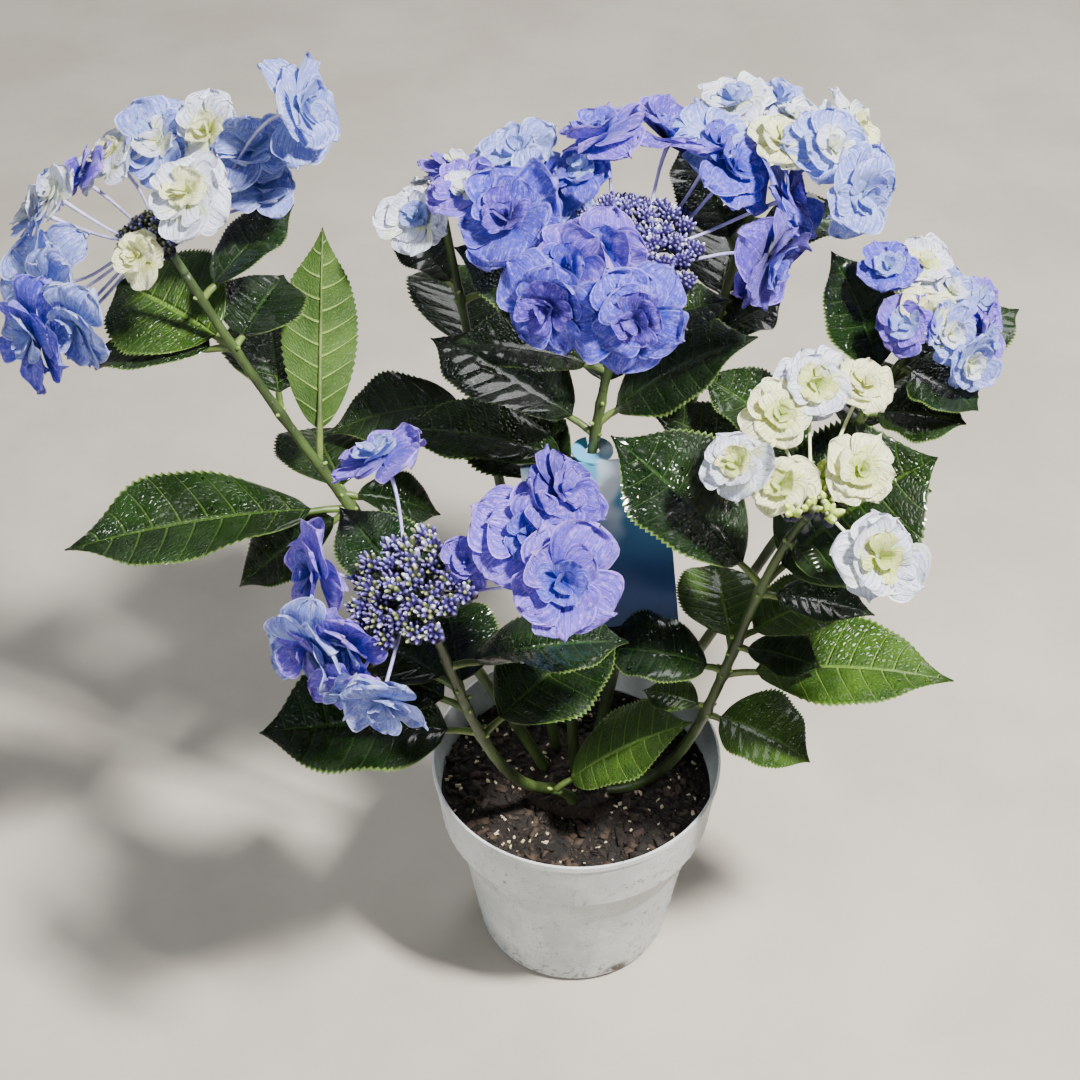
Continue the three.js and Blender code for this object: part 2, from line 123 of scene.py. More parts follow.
PETAL_BOWL = 0.1
PETAL_CURL = 0.2
PETAL_LEAN = 0.16
PETAL_TWIST = 0.2
RING_TURN = 40
LIGHT_PULL = 0.45
GOLDEN = 137.508
UP = np.array([0.0, 0.0, 1.0])
RIGHT = np.array([1.0, 0.0, 0.0])
BACK = np.array([0.0, 1.0, 0.0])

# Slots of the leaf materials, by the tone of the leaf
TOPS = {"deep": 0, "mid": 1, "bright": 2}
UNDERS = {"deep": 3, "mid": 3, "bright": 4}
STALK_SLOT = 5

# Waves along a blade: how many, shift from leaf to leaf, growth toward the margin, height
BLADE_WAVES = [(7, 2.1, 2, 0.1), (17, 1.3, 3, 0.04)]

# Waves across a petal: how many, shift from petal to petal, slant, height, growth toward the tip
PLEATS = [(3.4, 1.7, 0, 0.06, 1.5), (7, 2.9, 0, 0.045, 3), (12, 0.9, 3, 0.022, 2.5)]

# Each ring of a double floret: petals, length, width, rise, flare and cup, outermost first
WHORLS = [
    (5, 1.04, 1.18, 22, -12, 0.03),
    (4, 0.8, 1.0, 30, -2, 0.08),
    (4, 0.52, 0.66, 42, 16, 0.16),
    (3, 0.3, 0.38, 60, 48, 0.4),
]

# The small buds of each kind of head: clusters, buds in each, size, and the slots dealt out
BUDS = {
    "violet": (44, 17, 1.15, [0, 0, 1, 0, 0, 2, 1, 0]),
    "mixed": (28, 14, 1.4, [0, 0, 1, 3, 2, 0, 3, 0]),
    # Slot 6 in the grey list deals some buds the dark bud_shaded material, painted shade among them
    "grey": (30, 14, 1.2, [3, 3, 0, 3, 6, 3, 1]),
    "green": (9, 9, 1.2, [3, 2, 3, 2]),
    "lime": (11, 6, 1.9, [4, 4, 4, 3]),
}
BUD_STALK_SLOT = 5
# The slot of the dark bud_shaded material, painted shade for the balls under each cluster
BUD_SHADE_SLOT = 6

# A petal's colour at its base, in its middle and along its edge
PETAL_COLOURS = {
    "violet": (0x30208A, 0x523ABC, 0x9C86EA),
    "blue": (0x2834B6, 0x4E4ACC, 0x9C96EE),
    "pale": (0x9CB4EC, 0x8090E6, 0xD0D9F8),
    "lilac": (0x463EC8, 0x6C56D6, 0xB89AEE),
    "white": (0xE4ECBC, 0xD6DEF4, 0xF8F8FC),
    "cream": (0xD8E080, 0xEEF0BA, 0xF8F8E6),
    "lime": (0xB8D058, 0xDEE690, 0xF2F2C8),
}
TONES = list(PETAL_COLOURS)

# The four handles of each shoot's curve
SHOOTS = {
    "left": [(-16, 6, CROWN_TOP), (-70, 12, 230), (-125, 28, 290), (-176, 42, 400)],
    "centre": [(0, 4, CROWN_TOP), (-8, 20, 200), (2, 32, 300), (20, 42, 396)],
    "back_right": [(10, 18, CROWN_TOP), (30, 50, 210), (60, 80, 320), (84, 98, 420)],
    "far_right": [(18, 7, CROWN_TOP), (70, 14, 200), (110, 30, 290), (152, 40, 362)],
    "right": [(16, -8, CROWN_TOP), (72, -14, 118), (66, -32, 262), (97, -42, 330)],
    "front_left": [(-12, -8, CROWN_TOP), (-40, -45, 150), (-52, -64, 225), (-68, -76, 308)],
    "basal": [(-2, -16, CROWN_TOP), (-3, -17, 116), (-7, -20, 121), (-12, -22, 125)],
    "back_left": [(-10, 20, CROWN_TOP), (-30, 60, 210), (-50, 90, 300), (-64, 108, 385)],
}

# Each leaf: place along its shoot, compass, rise, roll, reach, width, droop, tone
LEAVES = {
    "left": [
        (0.88, 144, 5, 20, 74, 62, 20, "bright"), (0.88, 162, -18, 0, 84, 44, 20, "mid"),
        (0.88, 67, 10, 0, 50, 46, 20, "deep"), (0.96, 40, 28, 0, 60, 32, 20, "deep"),
        (0.66, 88, 52, 165, 112, 36, 10, "bright"), (0.57, 196, 3, 0, 136, 60, 20, "mid"),
        (0.57, 205, -25, 0, 66, 44, 20, "deep"), (0.6, 5, -20, 0, 50, 34, 30, "deep"),
        (0.76, 100, -5, 0, 90, 52, 40, "mid"), (0.58, 110, -10, 0, 80, 48, 40, "mid"),
    ],
    "centre": [
        (0.72, 150, 14, 0, 94, 60, 30, "deep"), (0.6, 145, 12, 0, 88, 58, 30, "deep"),
        (0.74, 2, 34, 0, 88, 62, 30, "deep"), (0.66, 170, 5, 0, 98, 46, 30, "mid"),
        (0.9, 8, 16, 0, 56, 34, 20, "mid"), (0.9, 163, 24, 20, 84, 54, 30, "deep"),
        (0.84, 185, 15, 0, 76, 44, 30, "mid"), (0.78, 80, -5, 0, 85, 50, 40, "mid"),
    ],
    "back_right": [
        (0.86, 125, 40, 0, 60, 44, 20, "deep"), (0.88, 5, 8, 0, 60, 40, 30, "deep"),
        (0.72, 20, 22, 0, 40, 36, 30, "deep"), (0.76, 80, 0, 0, 90, 52, 40, "mid"),
        (0.64, 140, -5, 0, 80, 48, 40, "mid"),
    ],
    "far_right": [
        (0.9, 128, 52, 0, 68, 44, 20, "deep"), (0.9, 33, 8, 0, 84, 44, 30, "mid"),
        (0.95, 325, -10, 0, 42, 48, 30, "deep"), (0.84, 340, 8, 0, 48, 52, 30, "mid"),
        (0.7, 150, 28, 0, 76, 48, 30, "mid"), (0.64, 156, 20, 0, 87, 40, 30, "mid"),
        (0.76, 60, -5, 0, 85, 50, 40, "mid"), (0.64, 20, -12, 0, 75, 46, 40, "mid"),
    ],
    "right": [
        (0.8, 150, 35, 0, 98, 68, 20, "deep"), (0.8, 12, 40, -20, 100, 78, 30, "mid"),
        (0.78, 345, 0, 0, 54, 30, 30, "deep"), (0.93, 310, -20, 0, 24, 14, 20, "mid"),
        (0.66, 20, 12, 0, 56, 40, 30, "bright"), (0.56, 350, 8, 0, 110, 54, 30, "bright"),
        (0.44, 332, -6, 0, 58, 50, 40, "bright"), (0.64, 340, 0, 0, 42, 30, 20, "mid"),
        (0.57, 174, 8, 0, 62, 48, 35, "deep"), (0.46, 160, 0, 0, 34, 26, 30, "bright"),
        (0.62, 96, 6, 0, 58, 44, 40, "bright"),
    ],
    "front_left": [
        (0.56, 184, 4, 0, 104, 74, 25, "deep"), (0.74, 150, 5, 0, 70, 50, 30, "deep"),
        (0.82, 4, 7, 18, 82, 62, 25, "deep"), (0.54, 32, 22, 0, 86, 62, 30, "mid"),
        (0.92, 130, 22, 0, 76, 40, 30, "deep"), (0.66, 163, 12, 0, 84, 56, 25, "deep"),
        (0.7, 100, 10, 0, 60, 44, 30, "deep"),
    ],
    "basal": [
        (0.95, 0, 37, 0, 86, 52, 25, "bright"),
    ],
    "back_left": [
        (0.86, 155, 38, 0, 48, 34, 30, "deep"), (0.84, 20, 10, 0, 60, 40, 30, "mid"),
        (0.72, 100, 0, 0, 90, 52, 40, "mid"), (0.64, 190, -5, 0, 80, 48, 40, "mid"),
    ],
}

# Each head: tilt, compass, rise off its shoot, radius of its middle, kind of buds, tone of its stalks
HEADS = {
    "left": (25, 170, 24, 22, "grey", "pale"),
    "centre": (8, 280, 24, 32, "violet", "lilac"),
    "back_right": (20, 60, 16, 14, "green", "cream"),
    "far_right": (25, 320, 16, 12, "green", "cream"),
    "right": (15, 290, 18, 14, "lime", "cream"),
    "front_left": (30, 235, 24, 26, "mixed", "lilac"),
    "back_left": (25, 130, 14, 10, "green", "pale"),
}

# Each floret: round the head, reach from its middle, lift, outward nod, diameter, outer and inner tone
FLORETS = {
    "left": [
        (149, 73, 18, 35, 42, "pale white"), (166, 72, -2, 25, 46, "pale pale"),
        (184, 64, -2, 35, 46, "pale pale"), (206, 74, -8, 50, 46, "blue pale"),
        (127, 78, 17, 40, 38, "lilac white"), (113, 76, 17, 20, 38, "white cream"),
        (94, 67, 13, -30, 42, "pale white"), (70, 63, 11, -20, 38, "white cream"),
        (325, 36, 21, 10, 38, "white cream"), (20, 56, 12, 30, 38, "pale pale"),
        (20, 51, -6, 40, 32, "pale pale"), (5, 86, 20, 98, 48, "pale pale"),
        (266, 30, 6, 20, 24, "cream cream"), (222, 58, -8, 70, 42, "pale pale"),
        (150, 52, 26, 20, 28, "white white"),
    ],
    "centre": [
        (171, 55, 6, 20, 50, "blue violet"), (142, 47, 6, 10, 46, "pale blue"),
        (134, 73, 6, 40, 40, "pale pale"), (221, 38, 8, 30, 46, "lilac blue"),
        (231, 59, 2, 60, 46, "blue violet"), (234, 24, 12, 40, 40, "lilac blue"),
        (270, 58, 8, 50, 50, "blue violet"), (342, 66, 4, 100, 46, "violet blue"),
        (17, 77, 8, 60, 42, "blue violet"), (30, 55, 20, 40, 40, "blue blue"),
        (66, 48, 26, 50, 44, "violet blue"), (108, 46, 28, 54, 46, "lilac blue"),
        (46, 56, 24, 20, 38, "pale blue"), (131, 34, 20, 20, 28, "blue pale"),
    ],
    "back_right": [
        (182, 21, 14, 20, 38, "white pale"), (78, 18, 14, 20, 38, "pale pale"),
        (192, 16, 4, 10, 24, "cream cream"), (271, 34, 6, 10, 30, "cream cream"),
        (299, 45, 8, 30, 40, "pale white"), (0, 39, 8, 40, 38, "white cream"),
        (301, 71, -6, 80, 40, "pale pale"), (0, 10, 10, 10, 32, "white white"),
    ],
    "far_right": [
        (140, 32, 10, 30, 30, "blue pale"), (106, 26, 12, 20, 30, "white cream"),
        (197, 17, 4, 30, 28, "lilac pale"), (168, 6, 8, 10, 26, "cream cream"),
        (312, 10, 6, 20, 28, "pale white"), (34, 32, 4, 30, 28, "lilac pale"),
        (3, 30, 0, 50, 30, "lilac pale"), (62, 17, 10, 20, 28, "pale white"),
        (312, 26, 2, 50, 28, "pale white"),
    ],
    "right": [
        (165, 36, 8, 30, 32, "white lime"), (177, 16, 6, 20, 30, "cream lime"),
        (116, 34, 16, 0, 32, "cream lime"), (89, 45, 20, -10, 34, "white lime"),
        (64, 54, 18, 20, 28, "cream cream"), (17, 20, 12, 10, 32, "cream lime"),
        (308, 43, 4, 30, 42, "white lime"),
    ],
    "front_left": [
        (101, 66, 6, 58, 42, "lilac pale"), (165, 48, 2, 60, 42, "lilac blue"),
        (204, 54, -2, 60, 42, "pale lilac"), (222, 38, 0, 60, 36, "lilac pale"),
        (255, 51, -6, 80, 38, "pale pale"), (235, 52, -10, 80, 34, "lilac pale"),
        (14, 60, 8, 20, 50, "lilac blue"), (355, 71, 6, 40, 48, "lilac blue"),
        (25, 80, 6, 60, 40, "violet lilac"), (16, 30, 4, 20, 24, "lilac lilac"),
    ],
    "back_left": [
        (36, 15, 10, 20, 32, "lilac white"), (79, 16, 6, 20, 30, "white white"),
        (258, 39, 0, 40, 32, "white pale"), (291, 50, 8, 20, 32, "lilac white"),
        (336, 40, 12, 20, 32, "pale white"),
    ],
}


# Numbers and directions

def wobble(a, b):
    """A repeatable number between -1 and 1 for a pair of counters. Either may be an array."""
    value = np.sin(a * 12.9898 + b * 78.233) * 43758.5453
    return 2 * (value - np.floor(value)) - 1


def chance(a, b):
    """The same number between 0 and 1."""
    return 0.5 + 0.5 * wobble(a, b)


def unit(v):
    """The direction of a vector, or of each vector of an array."""
    return v / np.maximum(np.linalg.norm(v, axis=-1, keepdims=True), 1e-9)


def turned(first, second, angle):
    """A direction turned from the first toward the second, for one angle or an array of them."""
    angle = np.asarray(angle)[..., None]
    return np.cos(angle) * first + np.sin(angle) * second


def direction(compass, rise):
    c, r = radians(compass), radians(rise)
    return np.array([cos(r) * cos(c), cos(r) * sin(c), sin(r)])


def bezier(handles, t):
    """Points on a curve of three or four handles."""
    points = [np.asarray(h, float) for h in handles]
    t = np.asarray(t, float)[..., None]
    while len(points) > 1:
        points = [a * (1 - t) + b * t for a, b in zip(points, points[1:])]
    return points[0]


def smooth(x, low, high):
    """0 below low, 1 above high, and an even bend between."""
    s = np.clip((x - low) / (high - low), 0, 1)
    return s * s * (3 - 2 * s)


# Meshes gathered from arrays

class Heap:
    """Points, places on the surface, faces and materials, gathered into one mesh."""

    def __init__(self):
        self.points, self.uv, self.faces, self.slots = [], [], [], []
        self.count = 0

    def add(self, points, uv, faces, slot):
        """Faces are rows of four point numbers. slot is one number or one for each face."""
        points = np.asarray(points, float).reshape(-1, 3)
        self.points.append(points)
        self.uv.append(np.asarray(uv, float).reshape(-1, 2))
        self.faces.append(faces + self.count)
        self.slots.append(np.broadcast_to(slot, len(faces)))
        self.count += len(points)

    def make(self, name, materials, nodes, slot):
        """The joined piece. It stands for the CAD nodes named and rides on the plant's one body."""
        rows = self.points, self.uv, self.faces, self.slots
        points, uv, faces, slots = (np.concatenate(row) for row in rows)
        corners = faces.ravel()
        mesh = bpy.data.meshes.new(name)
        mesh.vertices.add(len(points))
        mesh.vertices.foreach_set("co", (points * MM).astype(np.float32).ravel())
        mesh.loops.add(len(corners))
        mesh.loops.foreach_set("vertex_index", corners.astype(np.int32))
        mesh.polygons.add(len(faces))
        mesh.polygons.foreach_set("loop_start", np.arange(0, len(corners), 4, dtype=np.int32))
        for material in materials:
            mesh.materials.append(material)
        mesh.polygons.foreach_set("material_index", slots.astype(np.int32))
        mesh.polygons.foreach_set("use_smooth", np.ones(len(faces), bool))
        layer = mesh.uv_layers.new(name="surface")
        layer.data.foreach_set("uv", uv[corners].astype(np.float32).ravel())
        mesh.update(calc_edges=True)
        mesh.validate()
        piece = bpy.data.objects.new(name, mesh)
        bpy.context.scene.collection.objects.link(piece)
        settle(piece, nodes)


def settle(piece, nodes):
    """A finished piece rides on the plant's one body."""
    if nodes:
        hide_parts(*nodes)
    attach(piece, "root")


def grid(rows, columns, wrap=False, flip=False):
    """The four-sided faces of a grid of points, row by row."""
    across = columns if wrap else columns - 1
    i, j = np.meshgrid(np.arange(rows - 1), np.arange(across), indexing="ij")
    a, b = i * columns + j, i * columns + (j + 1) % columns
    faces = np.stack([a, b, b + columns, a + columns], axis=-1).reshape(-1, 4)
    return faces[:, ::-1] if flip else faces


def tube(heap, path, radii, sides, slot):
    """A round tube along a path, closed to a point at both ends."""
    path = np.asarray(path, float)
    forward = unit(np.gradient(path, axis=0))
    side = np.cross(forward[0], UP if abs(forward[0][2]) < 0.9 else BACK)
    angles = np.arange(sides) / sides * 2 * pi
    rings = [np.repeat(path[:1], sides, 0)]
    for centre, ahead, radius in zip(path, forward, radii):
        side = unit(side - ahead * np.dot(side, ahead))
        rings.append(centre + radius * turned(side, np.cross(ahead, side), angles))
    rings.append(np.repeat(path[-1:], sides, 0))
    rows = len(rings)
    u, v = np.meshgrid(np.linspace(0, 1, rows), np.arange(sides) / sides, indexing="ij")
    heap.add(np.concatenate(rings), np.stack([v, u], -1), grid(rows, sides, wrap=True), slot)


def round_shape(rings, sides, low):
    """A unit ball from the angle low, -90 for a whole one and 0 for a dome, as points, places and faces."""
    rises, turns = np.linspace(radians(low), pi / 2, rings), np.arange(sides) / sides * 2 * pi
    rise, turn = np.meshgrid(rises, turns, indexing="ij")
    points = np.stack([np.cos(rise) * np.cos(turn), np.cos(rise) * np.sin(turn), np.sin(rise)], -1)
    uv = np.stack([turn / (2 * pi), np.sin(rise) * 0.5 + 0.5], -1)
    return points.reshape(-1, 3), uv.reshape(-1, 2), grid(rings, sides, wrap=True)


def bud_shape():
    """A closed bud: a ball with four lobes, drawn in toward its tip."""
    points, uv, faces = round_shape(6, 8, -90)
    lobes = np.where(np.arange(len(points)) % 2 == 0, 1.14, 0.84)
    girth = lobes * (1 - 0.3 * points[:, 2])
    return points * np.stack([girth, girth, np.ones(len(points))], -1), uv, faces


DOME = round_shape(4, 7, 0)
BALL = round_shape(5, 8, -90)
BUD = bud_shape()


def add_round(heap, shape, centres, axes, widths, lengths, slots):
    """Many scaled copies of DOME, BALL or BUD, each standing along its axis, in one go."""
    ball, uv, faces = shape
    count = len(centres)
    widths, lengths, slots = (np.broadcast_to(value, count) for value in (widths, lengths, slots))
    axes = unit(axes)
    side = unit(np.cross(axes, np.where(np.abs(axes[:, 2:]) < 0.9, UP, RIGHT)))
    third = np.cross(axes, side)
    level = ball[None, :, :1] * side[:, None] + ball[None, :, 1:2] * third[:, None]
    points = (centres[:, None] + widths[:, None, None] * level
              + lengths[:, None, None] * ball[None, :, 2:] * axes[:, None])
    slots = np.repeat(slots, len(faces))
    faces = (faces[None] + np.arange(count)[:, None, None] * len(ball)).reshape(-1, 4)
    heap.add(points, np.tile(uv, (count, 1)), faces, slots)


def add_drops(heap, places, normals, seed, height):
    """A drop of water at each place, of mixed sizes."""
    size = DROP_LEAST + DROP_RANGE * chance(np.arange(len(places)), seed) ** 4
    add_round(heap, DOME, places, normals, size, size * height, 0)


# Leaves

def bulge(x):
    return x ** 0.62 * (1 - x ** 2.2) ** 1.1


def outline(u):
    """Half-width of a blade from its base, 0, to its tip, 1, as a share of the widest."""
    return bulge(np.clip(u, 0, 1)) / bulge(BLADE_WIDEST)


class Blade:
    """One leaf's midrib and the surface that stands on it."""

    def __init__(self, shoot, row, seed):
        at, compass, rise, roll, self.reach, self.width, droop, self.tone = row
        self.base = bezier(shoot, at)
        self.start = radians(rise + droop / 2)
        self.bend = radians(droop)
        self.level = direction(compass, 0)
        self.across = direction(compass - 90, 0)
        self.roll = radians(-roll)
        self.seed = seed

    def spine(self, t):
        """Place, side and upward direction at each point of the midrib."""
        angle = self.start - self.bend * t
        out = (sin(self.start) - np.sin(angle)) / self.bend * self.reach
        rise = (np.cos(angle) - cos(self.start)) / self.bend * self.reach
        place = self.base + out[..., None] * self.level + rise[..., None] * UP
        forward = turned(self.level, UP, angle)
        side = turned(self.across, np.cross(forward, self.across), self.roll)
        return place, side, np.cross(side, forward)

    def surface(self, t, s, layer):
        """Points at the share t along the side veins' roots and s across, -1 to 1, above or below."""
        edge = np.abs(s)
        along = t + VEIN_SWEEP * np.sqrt(t) * (1 - t) * edge ** 1.3
        saw = (t * TEETH) % 1
        tooth = 1 + TOOTH_DEPTH * (saw - 0.4) * edge ** 8 * smooth(t, 0.1, 0.2)
        half = self.width / 2 * outline(along) * tooth * (1 - TIP_PINCH * smooth(along, 0.72, 1.0))
        x = s * half
        vein = t * VEINS + VEIN_STAGGER * np.sign(s)
        quilt = np.abs(np.sin(pi * vein)) ** 0.7 * edge ** 0.5 * (1 - edge) ** 0.4
        wave = 0
        for waves, shift, growth, height in BLADE_WAVES:
            turn = t * waves + self.seed * shift + growth * np.sign(s)
            wave = wave + np.sin(turn) * edge ** growth * half * height
        fold = BLADE_FOLD * np.abs(x) * (1.15 - 0.35 * edge)
        twist = x * (t - 0.3) * BLADE_TWIST * wobble(self.seed, 7)
        puff = quilt * BLADE_QUILT * self.width / 60
        rise = fold + wave + twist + puff + layer * BLADE_THICKNESS * (1 - edge ** 8)
        place, side, up = self.spine(PETIOLE_SHARE + (1 - PETIOLE_SHARE) * along)
        return place + side * x[..., None] + up * rise[..., None]


def add_leaf(heap, drops, blade):
    """Both sides of a blade, the petiole that runs on as its midrib, and the drops on it."""
    even = np.linspace(-1, 1, BLADE_COLUMNS)
    closer = np.sign(even) * np.abs(even) ** 0.85
    t, s = np.meshgrid(np.linspace(0, 1, BLADE_ROWS), closer, indexing="ij")
    uv = np.stack([0.5 + 0.5 * s, t], -1)
    for layer, slots in ((1, TOPS), (-1, UNDERS)):
        faces = grid(BLADE_ROWS, BLADE_COLUMNS, flip=layer < 0)
        heap.add(blade.surface(t, s, layer), uv, faces, slots[blade.tone])
    share = np.linspace(0, 0.97, 30)
    place, _, up = blade.spine(share)
    thick = PETIOLE_THICKNESS * np.interp(share, [0, PETIOLE_SHARE, 0.3, 1], [1.2, 1, 0.6, 0.2])
    sink = thick * smooth(share, 0.08, 0.19) * 0.95
    tube(heap, place - up * sink[:, None], thick, 8, STALK_SLOT)

    k = np.arange(int(blade.width * DROPS_FOR_WIDTH[blade.tone]))
    t = 0.12 + 0.8 * chance(k, blade.seed)
    s = 0.85 * wobble(k, blade.seed + 31)
    here = blade.surface(t, s, 1)
    ahead = blade.surface(t + 0.01, s, 1) - here
    aside = blade.surface(t, s + 0.02, 1) - here
    normal = unit(np.cross(aside, ahead))
    add_drops(drops, here - normal * 0.1, normal, blade.seed + 57, LEAF_DROP_HEIGHT)


# Flowers

def add_petal(heap, stand, length, width, rise, flare, cup, point, seed, slot):
    """One petal: it leaves its base rising, flares as it goes out, and is cupped, pleated and ruffled."""
    base, outward, axis = stand
    v = 1 - (1 - np.linspace(0, 1, PETAL_ROWS)[:, None]) ** 1.7
    w = np.linspace(-1, 1, PETAL_COLUMNS)[None]
    low = radians(rise)
    bend = radians(flare) - low
    out = (np.sin(low + bend * v) - sin(low)) / bend
    up = (cos(low) - np.cos(low + bend * v)) / bend
    inner = 0.16 + 0.84 * np.sin(np.clip(v / PETAL_WAIST, 0, 1) * pi / 2) ** 1.1
    outer = np.clip((v - PETAL_WAIST) / (1 - PETAL_WAIST), 0, 1)
    outer = (1 - outer ** (2.8 - point)) ** (0.45 + 0.45 * point)
    half = width / 2 * np.where(v < PETAL_WAIST, inner, outer)
    half = half * (1 + PETAL_WAVER * np.sin(v * 7 + seed * 3.1 + 2 * np.sign(w)))
    x = w * half
    ragged = 0.035 * np.sin(w * 4 + seed * 2.3) + 0.025 * np.sin(w * 9 + seed * 1.1)
    tip = 1 + (ragged - 0.05 * w ** 2) * v ** 3
    pleat = sum(np.sin(w * waves + seed * shift + v * slant) * height * v ** growth
                for waves, shift, slant, height, growth in PLEATS)
    frill = np.sin(v * 15 + seed * 1.9) * 0.03 * np.abs(w) ** 3 * v
    bowl = PETAL_BOWL * wobble(seed, 8) * np.sin(v * pi) * (1 - w ** 2)
    curl = PETAL_CURL * wobble(seed, 6) * smooth(v, 0.55, 1.0) ** 2
    out = out * length * tip
    lift = up * length + cup * w ** 2 * half + (pleat + frill + curl + bowl) * length + PETAL_TWIST * x
    side = x + wobble(seed, 5) * PETAL_LEAN * length * v ** 2
    across = np.cross(axis, outward)
    points = base + out[..., None] * outward + side[..., None] * across + lift[..., None] * axis
    uv = np.stack([0.5 + 0.5 * w + 0 * v, v + 0 * w], -1)
    heap.add(points, uv, grid(PETAL_ROWS, PETAL_COLUMNS), slot)


def add_floret(petals, stalks, root, along, place, facing, diameter, tones, seed):
    """One double floret on its own stalk, with rings of petals that stand up more toward the middle."""
    radius = diameter / 2
    depth = radius * CUP_DEPTH
    back = place - facing * depth
    side = unit(np.cross(facing, UP if abs(facing[2]) < 0.9 else -BACK))
    third = np.cross(facing, side)
    outer, inner = (TONES.index(tone) for tone in tones.split())
    turn = wobble(seed, 3) * 180
    point = 0.7 * chance(seed, 9)
    for ring, (count, length, width, rise, flare, cup) in enumerate(WHORLS):
        for k in range(count):
            petal_seed = seed * 31 + ring * 7 + k
            angle = turn + ring * RING_TURN + 360 * k / count + 14 * wobble(petal_seed, 1)
            outward = turned(side, third, radians(angle))
            size = radius * (1 + 0.15 * wobble(petal_seed, 2))
            tilt = 12 * wobble(petal_seed, 4)
            foot = back + facing * depth * (0.2 + 0.16 * ring) + outward * radius * 0.03
            slot = outer if ring < 2 else inner
            add_petal(petals, (foot, outward, facing), size * length, size * width, rise + tilt,
                      flare + tilt * 1.5, cup, 0.1 if ring else point, petal_seed, slot)
    bow = np.linalg.norm(back - root) * 0.35
    steps = np.linspace(0, 1, 12)
    path = bezier([root, root + along * bow, back - facing * bow, back + facing * depth * 0.3], steps)
    tube(stalks, path, STALK_THICKNESS + STALK_FLARE * steps ** 6, 7, 0)


def add_buds(heap, kind, disc, middle, fork, axes, seed):
    """Clusters of small buds on branching rays, spread over a shallow dome, with balls of painted shade
    beneath.
    """
    clusters, each, size, dealt = BUDS[kind]
    axis, right, far = axes
    k = np.arange(each)
    share = np.sqrt((k + 0.5) / each)
    bloom = disc / sqrt(clusters) * 0.82
    for c in range(clusters):
        spread = sqrt((c + 0.5) / clusters)
        out = turned(right, far, radians(c * GOLDEN + seed * 40))
        lift = disc * 0.2 * (1 - spread ** 2) - spread ** 2 * disc / 8 + disc * 0.1 * wobble(c, seed)
        top = middle + out * disc * spread * (1 + 0.08 * wobble(c, seed + 5)) + axis * lift
        reach = np.linalg.norm(top - fork)
        elbow = fork + axis * reach * 0.3 + out * reach * 0.25
        ray = bezier([fork, elbow, top - axis * 1.2], np.linspace(0, 1, 6))
        tube(heap, ray, np.linspace(RAY_THICKNESS, RAY_TIP_THICKNESS, 6), 5, BUD_STALK_SLOT)
        side = turned(right, far, np.radians(k * GOLDEN + c * 50))
        lean = unit(axis + side * share[:, None] * 0.9 + out * spread * 0.3)
        centre = top + side * (share * bloom)[:, None] + axis * (bloom * 0.3 * (1 - share ** 2))[:, None]
        width = size * (1 + BUD_VARIETY * wobble(k, c + seed))
        slots = np.array(dealt)[(np.abs(wobble(k, c + seed + 3)) * len(dealt)).astype(int) % len(dealt)]
        add_round(heap, BUD, centre, lean, width, width * BUD_LENGTH, slots)
        # Dark balls of painted shade beneath each cluster, standing in for the shade between the buds
        under = centre * 0.8 + top * 0.2 - axis * size * 2.2
        add_round(heap, BALL, under, lean, width * 1.1, width * 1.3, BUD_SHADE_SLOT)
        start = top - axis * 1.5
        for end in centre:
            tube(heap, [start, (start + end) / 2, end], [0.4, 0.35, 0.35], 3, BUD_STALK_SLOT)


def add_head(petals, stalks, buds, shoot, head, florets, seed):
    """A flower head: its neck, its flat middle of small buds and the florets round it."""
    tilt, compass, rise, disc, kind, _ = head
    hub = bezier(shoot, 1)
    ahead = unit(hub - bezier(shoot, 1 - 1e-3))
    axis = direction(compass, 90 - tilt)
    right = unit(RIGHT - axis * axis[0])
    far = np.cross(axis, right)
    middle = hub + axis * rise
    neck = [hub, hub + ahead * rise * 0.3, middle - axis * rise * 0.35]
    tube(stalks, bezier(neck, np.linspace(0, 1, 8)), np.linspace(TIP_THICKNESS, NECK_THICKNESS, 8), 12, 1)
    fork = bezier(neck, 0.8)
    add_buds(buds, kind, disc, middle, fork, (axis, right, far), seed)
    for k, (angle, reach, lift, nod, diameter, tones) in enumerate(florets):
        out = turned(right, far, radians(angle))
        place = middle + out * reach + axis * lift
        facing = unit(turned(axis, out, radians(nod)) - BACK * LIGHT_PULL)
        root = middle + out * min(disc * 0.45, reach * 0.6) - axis * disc * 0.22
        add_floret(petals, stalks, root, out, place, facing, diameter, tones, seed * 20 + k)
        tube(stalks, np.linspace(fork, root, 4), [1.3, 1.1, 0.95, 0.8], 7, 0)


# Shoots

def add_shoot(heap, shoot, leaves, seed):
    """A bare green stem that swells where a leaf leaves it, with a pair of small buds there."""
    t = np.linspace(0, 1, STEM_STEPS)
    thick = FOOT_THICKNESS + (TIP_THICKNESS - FOOT_THICKNESS) * t
    thick = thick * (1 + STEM_UNEVEN * np.sin(t * 90 + seed))
    places = sorted({row[0] for row in leaves})
    for at in places:
        thick = thick * (1 + STEM_SWELL * np.exp(-((t - at) / SWELL_LENGTH) ** 2))
    tube(heap, bezier(shoot, t), thick, STEM_SIDES, 0)
    for k, at in enumerate(places):
        out = direction(90 + 73 * k + 40 * seed, 35)
        axes = np.stack([out, out * np.array([-1, -1, 1])])
        reach = np.interp(at, [0, 1], [FOOT_THICKNESS, TIP_THICKNESS])
        centres = bezier(shoot, at) + axes * (reach + 1)
        add_round(heap, BALL, centres, axes, 1.0, SHOOT_BUD_LENGTH, 1)


# Pot and soil

